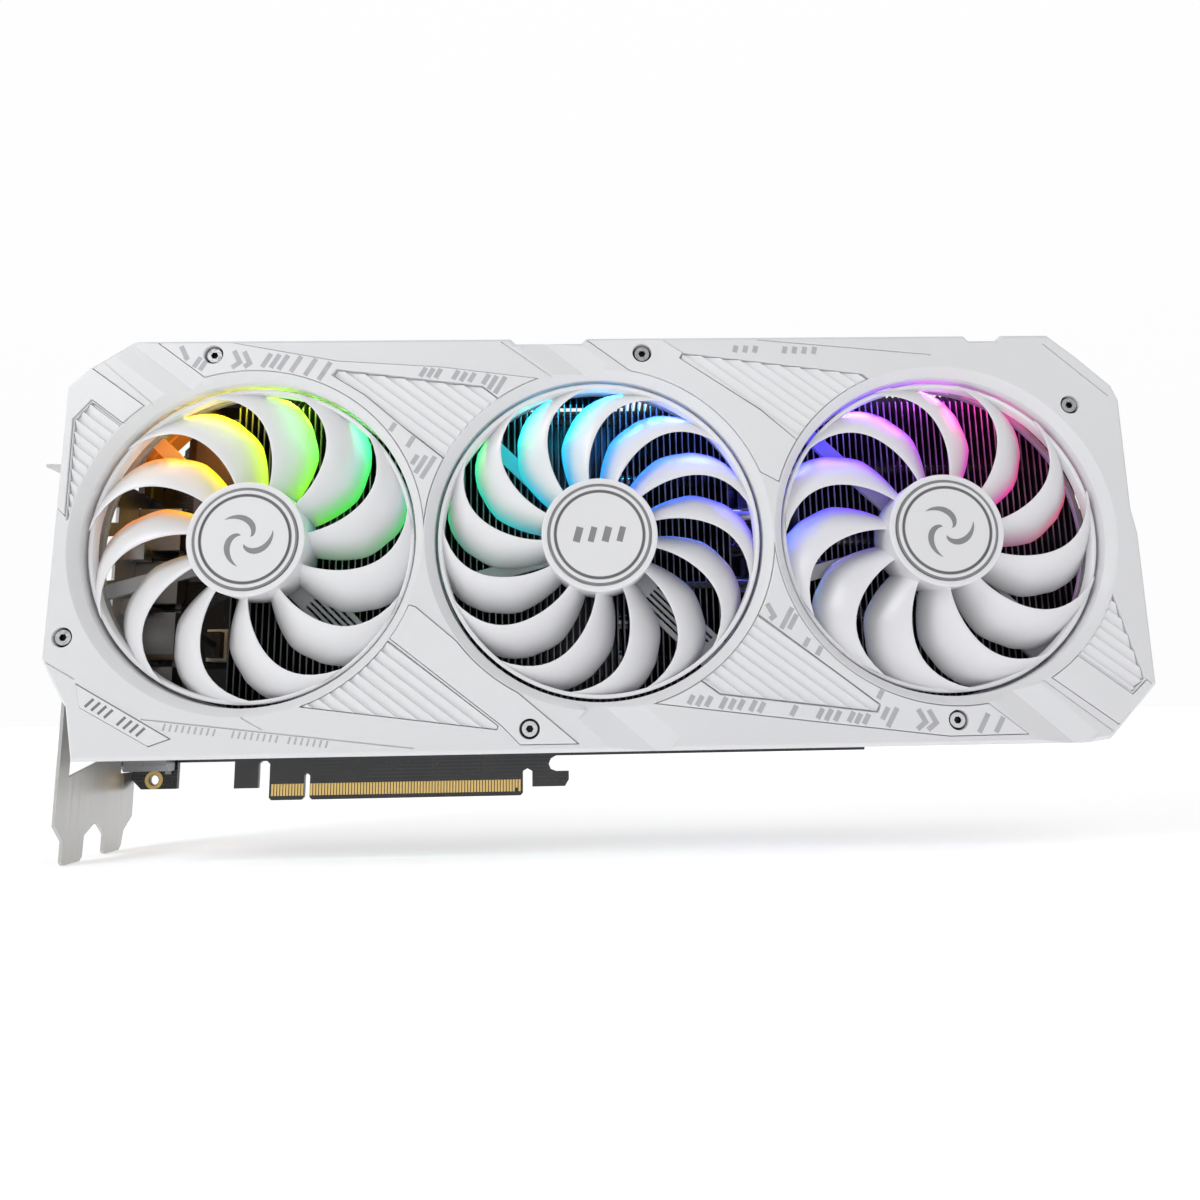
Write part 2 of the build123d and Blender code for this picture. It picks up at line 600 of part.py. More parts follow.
# ---- board -----------------------------------------------------------------------------------------
def board_outline():
    left, right = PCB_X
    return [(left, 7.4), (left + 3, 4.4), (-43.4, 4.4), (-43.4, 13.0), (-24.4, 13.0),
            (-24.4, 4.1), (-16.4, 4.1), (-16.4, 12.0), (-15.4, 13.0), (-13.6, 13.0),
            (-12.6, 12.0), (-12.6, 0.8), (-11.8, 0.0), (-1.75, 0.0), (-0.95, 0.8),
            (-0.95, 7.9), (0.0, 8.8), (0.95, 7.9), (0.95, 0.8), (1.75, 0.0), (71.8, 0.0),
            (72.6, 0.8), (72.6, 8.0), (74.2, 8.9), (75.8, 8.0), (75.8, 2.8), (86.9, 2.8),
            (88.2, 5.0), (88.2, 7.8), (83.9, 7.8), (82.1, 8.5), (81.4, 10.2), (82.1, 12.0),
            (83.9, 13.0), (right, 13.0), (right, PCB_TOP), (-46.0, PCB_TOP),
            (-46.0, 110.0), (left, 110.0)]


def board():
    pcb = slab(poly(board_outline()), -PCB_T / 2, PCB_T / 2)
    pcb -= disc(TAB_HOLE_R, -5, 5, *TAB_HOLE)
    for x, z in BACK_SCREWS + CORE_SCREWS:
        pcb -= disc(HOLE_R, -5, 5, x, z)
    return pcb.solid()


def edge_contacts():
    """Gilded lands of both sides: fingers before and after the key notch, and the tab's ring."""
    lands = []
    places = [first + k for count, first in (FINGERS_BEFORE, FINGERS_AFTER) for k in range(count)]
    for y0, y1 in ((Y_PCB - LAND_T, Y_PCB), (-Y_PCB, -Y_PCB + LAND_T)):
        for x in places:
            z0 = 2.6 if x == SHORT_FINGER_X else 1.4
            lands.append(box(x - FINGER_W / 2, x + FINGER_W / 2, y0, y1, z0, FINGER_Z))
        lands.append(tube(3.0, TAB_HOLE_R + 0.2, y0, y1, *TAB_HOLE))
    return group(lands)


def gpu_parts():
    """The chip's carrier, its bare die and the cold plate on the die."""
    def square(half_x, half_z, y_front, y_back):
        return box(GPU_X - half_x, GPU_X + half_x, y_front, y_back, GPU_Z - half_z, GPU_Z + half_z)

    substrate = square(19, 19, Y_SUBSTRATE, Y_PCB)
    die = square(12.5, 12.5, Y_DIE, Y_SUBSTRATE)
    cold = square(28, 24, Y_COLD, Y_DIE)
    for x, z in CORE_SCREWS:
        cold -= ahead(5.0, 0, x, z)
    return substrate, die, cold.solid()


def memory_places():
    """Twelve chips, three along each side of the graphics chip."""
    places = [(GPU_X + dx, GPU_Z + side * 29.0) for side in (-1, 1) for dx in (-16.0, 0.0, 16.0)]
    places += [(GPU_X + side * 29.0, GPU_Z + dz) for side in (-1, 1) for dz in (-13.0, 0.0, 13.0)]
    return places


def memory():
    half = MEMORY_SIZE / 2
    return group([box(x - half, x + half, Y_MEMORY, Y_PCB, z - half, z + half)
                  for x, z in memory_places()])


def choke_places():
    rows = [(x, z) for x in (CHOKE_X[0], CHOKE_X[1]) for z in CHOKE_Z]
    return rows + [(CHOKE_X[1] + 14.0, CHOKE_Z[0]), (CHOKE_X[1] + 14.0, CHOKE_Z[1])]


def chokes():
    parts = []
    half_x, half_z = CHOKE_SIZE[0] / 2, CHOKE_SIZE[1] / 2
    for x, z in choke_places():
        body = box(x - half_x, x + half_x, Y_CHOKE, Y_PCB, z - half_z, z + half_z)
        body = chamfer(body.edges().filter_by(Axis.Y), 1.0)
        parts.append(body)
    return group(parts)


def power_stages():
    """One chip beside each choke of the two main columns, towards the graphics chip."""
    chips = []
    for x, z in choke_places()[:2 * len(CHOKE_Z)]:
        middle = x + (7.8 if x < GPU_X else -7.8)
        chips.append(box(middle - 2.5, middle + 2.5, -1.7, Y_PCB, z - 3, z + 3))
    return group(chips)


def capacitors():
    return group([disc(CAPACITOR_R, Y_CAPACITOR, Y_PCB, x, z) for x in CAPACITOR_X
                  for z in CAPACITOR_Z])


def socket_cells():
    """Centres (X, Y) of the eight ways of each power inlet."""
    middle_y = Y_PCB - SOCKET_SIZE[1] / 2
    return [(x + (i - 1.5) * CELL_PITCH, middle_y + (j - 0.5) * CELL_PITCH)
            for x in SOCKET_X for i in range(4) for j in range(2)]


def power_sockets():
    """Three eight-way power inlets, mouths upwards, each way a square cell with a pin."""
    width, depth, height = SOCKET_SIZE
    z0, front = SOCKET_Z, Y_PCB - depth
    half = CELL_SIZE / 2
    body = []
    for x in SOCKET_X:
        shell = box(x - width / 2, x + width / 2, front, Y_PCB, z0, z0 + height)
        body.append(shell + box(x - 2.0, x + 2.0, front - 1.6, front, z0 + 10.0, z0 + 15.0))
    cells = [box(x - half, x + half, y - half, y + half, z0 + CELL_FLOOR, z0 + height + 1)
             for x, y in socket_cells()]
    return group([shell - cells for shell in body])


def power_pins():
    half = PIN_SIZE / 2
    return group([box(x - half, x + half, y - half, y + half, *PIN_Z) for x, y in socket_cells()])


def port_section(kind, z, shrink):
    """Mouth outline in (Y, Z): one corner cut on a DisplayPort, two on an HDMI."""
    y0, y1 = PORT_Y[0] + shrink, PORT_Y[1] - shrink
    half = PORT_HALF[kind]
    a, b = z - half + shrink, z + half - shrink
    if kind == "displayport":
        return poly([(y0, a + 2.0), (y0 + 2.0, a), (y1, a), (y1, b), (y0, b)])
    return poly([(y0, a), (y0, b), (y1 - 2.0, b), (y1, b - 2.2), (y1, a + 2.2), (y1 - 2.0, a)])


def port_shells(kind):
    shells = []
    for z in PORT_Z[kind]:
        shell = along_x(port_section(kind, z, 0.0), *PORT_X)
        shell -= along_x(port_section(kind, z, PORT_WALL), PORT_X[0] - 1, PORT_X[1] - 0.6)
        for side in (-1, 1):
            foot = z + side * (PORT_HALF[kind] + 0.6)
            y_foot = PORT_Y[1] - PORT_WALL
            shell += box(*PORT_FEET_X, y_foot, Y_PCB, foot - 0.6, foot + 0.6)
            low, high = sorted((z, foot + 0.6 * side))
            shell += box(*PORT_FEET_X, y_foot, PORT_Y[1], low, high)
        shells.append(shell)
    return group(shells)


def port_tongues():
    """The insulating block and contact tongue inside each display socket."""
    parts = []
    for kind in PORT_Z:
        for z in PORT_Z[kind]:
            section = port_section(kind, z, PORT_WALL + 0.05)
            back = along_x(section, PORT_FEET_X[0], PORT_X[1] - 0.65)
            y = sum(PORT_Y) / 2
            tongue = box(PORT_X[0] + 3, PORT_FEET_X[0], y - 0.6, y + 0.6, z - 5.2, z + 5.2)
            parts.append(back + tongue)
    return group(parts)


# ---- bracket ----------------------------------------------------------------------------------------
BRACKET_EDGE = [(-38.5, BRACKET_TOP), (-38.5, -2.6), (-34.4, -7.3), (-34.4, -13.2),
                (-33.4, -14.2), (-25.9, -14.2), (-24.9, -13.2), (-24.6, -7.0), (-20.3, -4.3),
                (-18.1, -4.3), (-14.4, -8.0), (-14.4, -13.2), (-13.4, -14.2), (-5.9, -14.2),
                (-4.9, -13.2), (-3.8, -8.2), (0.6, -4.2), (0.6, BRACKET_TOP)]


def bracket():
    x0, x1 = X_BRACKET, X_BRACKET + BRACKET_T
    plate = along_x(poly(BRACKET_EDGE), x0, x1)
    flange = box(x0 - FLANGE_OUT, x1, -38.5, 0.6, BRACKET_TOP - BRACKET_T, BRACKET_TOP)
    for y in (NOTCH_Y, NOTCH_Y - SLOT_PITCH):
        flange -= box(-FAR, x0 - NOTCH_X_IN, y - NOTCH_HALF, y + NOTCH_HALF, 0, FAR)
    plate += flange
    through = (x0 - 5, x1 + 5)
    for kind, places in PORT_Z.items():
        half = PORT_HALF[kind] + 0.3
        for z in places:
            plate -= box(*through, PORT_Y[0] - 0.3, PORT_Y[1] + 0.3, z - half, z + half)
    # vent: slanted slots in the outer slot's half of the plate
    for z, _ in spans(*VENTS, 0.0):
        slot = poly([(-33.9, z), (-19.0, z + 4.0), (-19.0, z + 9.0), (-33.9, z + 5.0)])
        plate -= along_x(slot, *through)
    for z in BRACKET_SCREW_Z:
        plate -= along_x(Pos(BRACKET_SCREW_Y, z) * Circle(BRACKET_HOLE_R), *through)
    # two ears hold the plate to the board
    for z in EAR_Z:
        y0, y1 = PCB_T / 2, PCB_T / 2 + EAR_T
        plate += box(x1, x1 + 7.8, y0, y1, z - EAR_HALF, z + EAR_HALF)
        plate += box(x0, x1, 0.0, y1, z - EAR_HALF, z + EAR_HALF)
    return plate.solid()


def bracket_screws():
    """Rounded screws through the plate, between the sockets."""
    screws = []
    for z in BRACKET_SCREW_Z:
        place = Pos(BRACKET_SCREW_Y, z)
        head = along_x(place * Circle(2.4), X_BRACKET - 1.3, X_BRACKET)
        cross = along_x(place * (Rectangle(2.6, 0.5) + Rectangle(0.5, 2.6)), -FAR, X_BRACKET - 0.7)
        shank = along_x(place * Circle(SCREW_R), X_BRACKET, X_BRACKET + 5.0)
        screws.append(head + shank - cross)
    return group(screws)


def port_standoffs():
    """Threaded blocks on the board that the bracket screws go into."""
    blocks = []
    for z in BRACKET_SCREW_Z:
        block = box(X_BRACKET + BRACKET_T, -52.0, -14.2, -9.2, z - 2.6, z + 2.6)
        block += box(-55.0, -52.0, -9.2, Y_PCB, z - 0.9, z + 0.9)
        block -= along_x(Pos(BRACKET_SCREW_Y, z) * Circle(SCREW_R), -65, -50)
        blocks.append(block)
    return group(blocks)


# ---- frame, backplate ---------------------------------------------------------------------------------
BACK_OUT = [(-56.0, 24.0), (-56.0, 118.0), (-44.0, 130.0), (-38.0, 137.8), (240.0, 137.8),
            (256.0, 122.0), (258.6, 112.0), (258.6, 36.0), (246.0, 20.0), (242.0, 16.5),
            (-40.0, 16.5)]


def base_frame():
    """Stamped stiffening frame between the heatsink and the board."""
    plate = slab(poly([(-41.0, 19.0), (-41.0, 128.0), (105.0, 128.0), (105.0, 116.5),
                       (188.0, 116.5), (188.0, 19.0)]), *FRAME_Y)
    # openings: cold plate, power parts, and the leads' headers near the bracket and mid-board
    openings = [(GPU_X - 29, GPU_X + 29, GPU_Z - 25, GPU_Z + 25), (-41.5, -24.0, 44.0, 74.0),
                (150.5, 160.5, 54.0, 84.0)]
    openings += [(*across, *along) for across in FRAME_OPEN_X for along in FRAME_OPEN_Z]
    for x0, x1, z0, z1 in openings:
        plate -= box(x0, x1, -FAR, 0, z0, z1)
    plate += [disc(3.0, FRAME_Y[1], Y_PCB, x, z) for x, z in BACK_SCREWS]
    for x, z in BACK_SCREWS:
        plate -= ahead(SCREW_SHANK_R, 0, x, z)
    for x, z in CORE_SCREWS:
        plate -= ahead(1.5, 0, x, z)
    return plate.solid()


def backplate():
    outline = poly(BACK_OUT)
    plate = slab(outline, Y_BACK - BACK_T, Y_BACK)
    plate = chamfer(plate.faces().sort_by(Axis.Y)[-1].edges(), 0.6)
    rim = outline - offset(outline, amount=-BACK_RIM_T, kind=Kind.INTERSECTION)
    plate += slab(rim, Y_BACK_RIM, Y_BACK - BACK_T) - box(-60, -50, -FAR, FAR, 0, FAR)
    # window over the back of the graphics chip
    window = poly([(GPU_X - 15, GPU_Z - 11), (GPU_X - 11, GPU_Z - 15), (GPU_X + 11, GPU_Z - 15),
                   (GPU_X + 15, GPU_Z - 11), (GPU_X + 15, GPU_Z + 11), (GPU_X + 11, GPU_Z + 15),
                   (GPU_X - 11, GPU_Z + 15), (GPU_X - 15, GPU_Z + 11)])
    plate -= slab(window, -FAR, FAR)
    # flow-through slots behind the tail fan
    for z0, z1 in FLOW_ROWS_Z:
        for x0, x1 in spans(*FLOW_SLOTS):
            plate -= box(x0, x1, -FAR, FAR, z0, z1)
    # engraved accent lines
    for start, end in (((-30.0, 30.0), (40.0, 100.0)), ((44.0, 104.0), (54.0, 126.0)),
                       ((110.0, 24.0), (170.0, 64.0)), ((174.0, 68.0), (174.0, 96.0))):
        plate -= bar(start, end, 0.5, Y_BACK - 0.4, Y_BACK + 1)
    for x, z in BACK_SCREWS:
        plate += tube(3.2, HOLE_R, PCB_T / 2, Y_BACK - BACK_T, x, z)
        plate -= disc(HOLE_R, -FAR, FAR, x, z)
        plate -= disc(3.0, Y_BACK - 1.2, FAR, x, z)
    return plate.solid()


def backplate_screws():
    screws = []
    for x, z in BACK_SCREWS:
        head = disc(2.8, Y_BACK - 1.2, Y_BACK - 0.1, x, z)
        shank = disc(SCREW_SHANK_R, FRAME_Y[0] + 0.2, Y_BACK - 1.2, x, z)
        cross = Pos(x, z) * (Rectangle(3.0, 0.6) + Rectangle(0.6, 3.0))
        screws.append(head + shank - slab(cross, Y_BACK - 0.8, Y_BACK + 1))
    return group(screws)


def core_bracket():
    """Spring plate behind the chip: a square ring with four arms."""
    y0, y1 = SPRING_Y
    plate = box(GPU_X - 13, GPU_X + 13, y0, y1, GPU_Z - 13, GPU_Z + 13)
    plate -= box(GPU_X - 7, GPU_X + 7, 0, 10, GPU_Z - 7, GPU_Z + 7)
    for angle in (45, 135, 225, 315):
        arm = box(12.0, CORE_PITCH / math.sqrt(2), y0, y1, -3.0, 3.0)
        plate += Pos(GPU_X, 0, GPU_Z) * Rot(0, -angle, 0) * arm
    for x, z in CORE_SCREWS:
        plate += disc(4.4, y0, y1, x, z)
        plate += tube(3.4, HOLE_R, PCB_T / 2, y0, x, z)
        plate -= disc(HOLE_R, -10, 10, x, z)
    return plate.solid()


def core_screws():
    screws = []
    for x, z in CORE_SCREWS:
        seat = SPRING_Y[1]
        head = disc(3.2, seat, seat + 1.6, x, z)
        shank = disc(1.5, FRAME_Y[0] + 0.2, seat, x, z)
        cross = Pos(x, z) * (Rectangle(3.6, 0.7) + Rectangle(0.7, 3.6))
        screws.append(head + shank - slab(cross, seat + 1.0, seat + 2.6))
    return group(screws)


def thermal_pads():
    """Soft pads under the frame: on the memory above and below the chip, and by the chokes."""
    pads = []
    y0 = FRAME_Y[1] + 0.05
    half = MEMORY_SIZE / 2
    for x, z in memory_places():
        if abs(x - GPU_X) > 25:
            continue
        span = (z - half, GPU_Z - 25.5) if z < GPU_Z else (GPU_Z + 25.5, z + half)
        pads.append(box(x - half, x + half, y0, Y_MEMORY - 0.05, *span))
    for z in CHOKE_Z:
        pads.append(box(*PAD_X, y0, -1.75, z - 3, z + 3))
    return group(pads)


# ---- lights, switch, cables -------------------------------------------------------------------------
def light_bar():
    (x0, x1), (y0, y1) = LIGHT_BAR_X, LIGHT_BAR_Y
    gap = 0.3
    return box(x0 + gap, x1 - gap, y0 + gap, y1 - gap, *LIGHT_BAR_Z).solid()


def led_board():
    return box(*LED_BOARD_X, *LED_BOARD_Y, *LED_BOARD_Z).solid()


def leds():
    """Square light chips under the strip board, shining down past the fans."""
    x_first, x_last = LED_BOARD_X[0] + 4.0, LED_BOARD_X[1] - 4.0
    step = (x_last - x_first) / (LED_COUNT - 1)
    y = sum(LED_BOARD_Y) / 2
    half, z1 = LED_SIZE / 2, LED_BOARD_Z[0]
    return group([box(x - half, x + half, y - half, y + half, z1 - LED_H, z1)
                  for x in (x_first + k * step for k in range(LED_COUNT))])


def switch_housing():
    """Firmware selector: slotted housing at the board's top edge."""
    shell = box(SWITCH_X - 4.6, SWITCH_X + 4.6, -4.4, Y_PCB, 128.2, 132.2)
    shell -= box(SWITCH_X - 3.0, SWITCH_X + 3.0, -3.6, -1.6, 129.6, 140)
    return shell.solid()


def switch_slider():
    """The sliding knob, at the bracket end of its travel."""
    x = SWITCH_X - SWITCH_TRAVEL / 2
    foot = box(x - 1.5, x + 1.5, -3.5, -1.7, 129.7, 131.4)
    knob = box(x - 0.8, x + 0.8, -3.4, -1.8, 131.4, 134.6)
    return (foot + knob).solid()


def in_header(x, z, margin, y_front, y_back):
    """A block in the middle of a header, drawn in from its outside by a margin."""
    half_x, half_z = HEADER_SIZE[0] / 2 - margin, HEADER_SIZE[1] / 2 - margin
    return box(x - half_x, x + half_x, y_front, y_back, z - half_z, z + half_z)


def fan_headers():
    return group([in_header(x, z, 0.0, Y_HEADER, Y_PCB) - in_header(x, z, 1.0, -FAR, -2.0)
                  for x, z in HEADERS.values()])


def fan_plugs():
    """Cable plugs, seated in the headers."""
    return group([in_header(x, z, 1.1, Y_PLUG, -2.0) for x, z in HEADERS.values()])


def fan_cable(side):
    """Sleeved lead from the motor plate to its plug on the board."""
    x, z = HEADERS[side]
    if side == "left":
        points = [(FAN_X[side] - 10.0, -32.6, 66.0), (-20.0, -32.4, 63.0), (-28.5, -27.0, 58.0),
                  (-30.5, -18.0, 54.0), (x, Y_PLUG, z)]
        return route(points, CABLE_R, 5.5)
    start = FAN_X[side] + (10.0 if side == "centre" else -10.0)
    lead_z = z + (3.0 if side == "centre" else -3.0)
    edge = x - 6.5 if side == "centre" else x + 4.0
    points = [(start, -32.3, lead_z), (edge, -32.3, lead_z), (x, -26.0, z), (x, Y_PLUG, z)]
    return route(points, CABLE_R, 4.0)


def main():
    write("shroud", shroud())
    for name, points in TRIM.items():
        write(name, trim_plate(name, points))
    for name, points in RIBBED.items():
        write(name, ribbed_plate(points))
    write("shroud_screws", shroud_screws())
    for side in FAN_X:
        fan_nodes(side)
    write("fan_frames", group([fan_frame(x) for x in FAN_X.values()]))
    write("fan_bearings", group([bearing(x) for x in FAN_X.values()]))
    write("fan_stators", group([stator(x) for x in FAN_X.values()]))
    left_holes = [(PIPE_Y, z) for z in PIPE_Z]
    right_holes = [(PIPE_Y_FRONT if pipe_is_raised(k) else PIPE_Y, z)
                   for k, z in enumerate(PIPE_Z)]
    write("fin_stack_left", fin_stack(LEFT_FINS, left_holes))
    write("fin_stack_right", fin_stack(RIGHT_FINS, right_holes))
    write("heat_pipes", heat_pipes())
    write("base_block", base_block())
    substrate, die, cold = gpu_parts()
    write("gpu_substrate", substrate)
    write("gpu_die", die)
    write("cold_plate", cold)
    write("circuit_board", board())
    write("edge_contacts", edge_contacts())
    write("memory_chips", memory())
    write("chokes", chokes())
    write("power_stages", power_stages())
    write("capacitors", capacitors())
    write("power_sockets", power_sockets())
    write("power_pins", power_pins())
    write("display_sockets", group([port_shells(kind) for kind in PORT_Z]))
    write("port_tongues", port_tongues())
    write("io_bracket", bracket())
    write("bracket_screws", bracket_screws())
    write("port_standoffs", port_standoffs())
    write("base_frame", base_frame())
    write("backplate", backplate())
    write("backplate_screws", backplate_screws())
    write("core_bracket", core_bracket())
    write("core_screws", core_screws())
    write("thermal_pads", thermal_pads())
    write("light_bar", light_bar())
    write("led_strip", group([led_board(), leds()]))
    write("switch_housing", switch_housing())
    write("switch_slider", switch_slider())
    write("fan_headers", fan_headers())
    write("fan_leads", group([fan_plugs()] + [fan_cable(side) for side in FAN_X]))


main()
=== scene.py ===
import json
import math
import random

import bmesh
import bpy
from mathutils import Matrix, Vector
from mathutils.bvhtree import BVHTree


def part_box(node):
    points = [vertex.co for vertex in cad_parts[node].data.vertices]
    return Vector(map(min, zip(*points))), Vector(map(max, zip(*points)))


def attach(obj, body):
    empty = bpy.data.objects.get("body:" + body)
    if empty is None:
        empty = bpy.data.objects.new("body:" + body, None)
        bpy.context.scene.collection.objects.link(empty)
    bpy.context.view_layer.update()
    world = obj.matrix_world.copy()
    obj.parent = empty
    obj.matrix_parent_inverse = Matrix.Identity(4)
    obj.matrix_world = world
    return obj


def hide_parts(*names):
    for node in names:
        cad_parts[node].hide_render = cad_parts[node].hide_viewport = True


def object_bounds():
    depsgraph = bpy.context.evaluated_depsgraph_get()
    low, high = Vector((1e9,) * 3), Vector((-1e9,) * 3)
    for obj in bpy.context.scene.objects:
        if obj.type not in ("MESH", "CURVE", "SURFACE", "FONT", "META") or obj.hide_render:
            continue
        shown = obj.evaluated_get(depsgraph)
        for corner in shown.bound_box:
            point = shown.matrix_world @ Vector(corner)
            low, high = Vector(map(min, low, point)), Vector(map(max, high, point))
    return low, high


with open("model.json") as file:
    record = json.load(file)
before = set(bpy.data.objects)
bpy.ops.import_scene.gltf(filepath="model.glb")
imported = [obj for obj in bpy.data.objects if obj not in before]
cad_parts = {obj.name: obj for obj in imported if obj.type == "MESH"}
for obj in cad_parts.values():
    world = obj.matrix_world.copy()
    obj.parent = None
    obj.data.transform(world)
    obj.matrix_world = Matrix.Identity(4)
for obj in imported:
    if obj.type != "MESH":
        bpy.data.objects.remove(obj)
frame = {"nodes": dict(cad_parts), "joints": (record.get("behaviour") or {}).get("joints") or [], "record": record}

CAD_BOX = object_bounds()
NODES = frame["nodes"]
MM = 0.001
JOINTS = {joint["name"]: joint for joint in frame["joints"]}
HUBS = {side: Vector(JOINTS[f"fan_{side}_spin"]["pos_m"]) for side in ("left", "centre", "right")}
FLOOR_Z = CAD_BOX[0][2]
SCREW_TOP_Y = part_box("shroud_screws")[0].y
R_HUB = 17.0            # fan hub
R_BORE = 48.6           # the shroud's opening for each fan


# ---- camera, light, floor ------------------------------------------------------------------
CAMERA_AT = (93.6 * MM, -273.3 * MM, 26.0 * MM)
CAMERA_YAW = -0.023
CAMERA_PITCH = 0.147
CAMERA_ROLL = 0.018
CAMERA_LENS = 23.53
SKY_SEEN = 1.0          # strength of the backdrop to the camera
SKY_LIGHT = 0.42        # its strength as light
LIGHTS_AIM = (0.1, -0.03, 0.07)
# studio lamps: name, place in m, size in m, watts
LAMPS = [("key", (-0.55, -0.50, 0.60), (0.35, 0.35), 2.5),
         ("top", (0.25, -0.15, 0.9), (0.9, 0.35), 1.1),
         ("rear", (0.5, 0.8, 0.5), (0.6, 0.6), 1.4)]
FLOOR_R = 30.0
FLOOR_GAP = 0.0002      # the floor lies this far under the card's lowest point
FLOOR_GLOW = ((0.35, 0.42), (1.6, 0.9))     # distance in m, strength: near, far


def turn(angle, axis):
    return Matrix.Rotation(angle, 3, axis)


def make_camera():
    data = bpy.data.cameras.new("camera")
    data.lens = CAMERA_LENS
    data.sensor_width = 36.0
    data.clip_start = 0.005
    data.clip_end = 50.0
    camera = bpy.data.objects.new("camera", data)
    bpy.context.scene.collection.objects.link(camera)
    level = turn(math.pi / 2, "X")
    aim = turn(CAMERA_YAW, "Z") @ turn(CAMERA_PITCH, "X") @ turn(CAMERA_ROLL, "Y") @ level
    camera.matrix_world = Matrix.Translation(CAMERA_AT) @ aim.to_4x4()
    bpy.context.scene.camera = camera


def area_light(name, place, target, size, watts, colour=(1, 1, 1)):
    data = bpy.data.lights.new(name, "AREA")
    data.shape = "RECTANGLE"
    data.size, data.size_y = size
    data.energy = watts
    data.color = colour
    lamp = bpy.data.objects.new(name, data)
    bpy.context.scene.collection.objects.link(lamp)
    lamp.location = place
    aim = Vector(target) - Vector(place)
    lamp.rotation_euler = aim.to_track_quat("-Z", "Y").to_euler()
    return lamp


def make_world():
    world = bpy.data.worlds.new("studio")
    bpy.context.scene.world = world
    world.use_nodes = True
    nodes, links = world.node_tree.nodes, world.node_tree.links
    nodes.clear()
    out = nodes.new("ShaderNodeOutputWorld")
    sky = nodes.new("ShaderNodeBackground")
    where = nodes.new("ShaderNodeTexCoord")
    split = nodes.new("ShaderNodeSeparateXYZ")
    ramp = nodes.new("ShaderNodeValToRGB")
    links.new(where.outputs["Generated"], split.inputs[0])
    links.new(split.outputs["Z"], ramp.inputs["Fac"])
    ramp.color_ramp.elements[0].position = 0.0
    ramp.color_ramp.elements[0].color = (0.98, 0.98, 0.985, 1)
    ramp.color_ramp.elements[1].position = 1.0
    ramp.color_ramp.elements[1].color = (1.0, 1.0, 1.0, 1)
    links.new(ramp.outputs["Color"], sky.inputs["Color"])
    rays = nodes.new("ShaderNodeLightPath")
    level = nodes.new("ShaderNodeMapRange")
    links.new(rays.outputs["Is Camera Ray"], level.inputs["Value"])
    level.inputs["To Min"].default_value = SKY_LIGHT
    level.inputs["To Max"].default_value = SKY_SEEN
    links.new(level.outputs["Result"], sky.inputs["Strength"])
    links.new(sky.outputs[0], out.inputs[0])


def make_lights():
    for name, place, size, watts in LAMPS:
        area_light(name, place, LIGHTS_AIM, size, watts)


def make_floor():
    floor = flat_disc("floor", FLOOR_R, FLOOR_Z - FLOOR_GAP)
    floor.data.materials.append(floor_paint())


def flat_disc(name, radius, z):
    mesh = bpy.data.meshes.new(name)
    ring = [(radius * math.cos(a), radius * math.sin(a), z)
            for a in (2 * math.pi * k / 96 for k in range(96))]
    mesh.from_pydata(ring, [], [tuple(range(96))])
    piece = bpy.data.objects.new(name, mesh)
    bpy.context.scene.collection.objects.link(piece)
    return piece


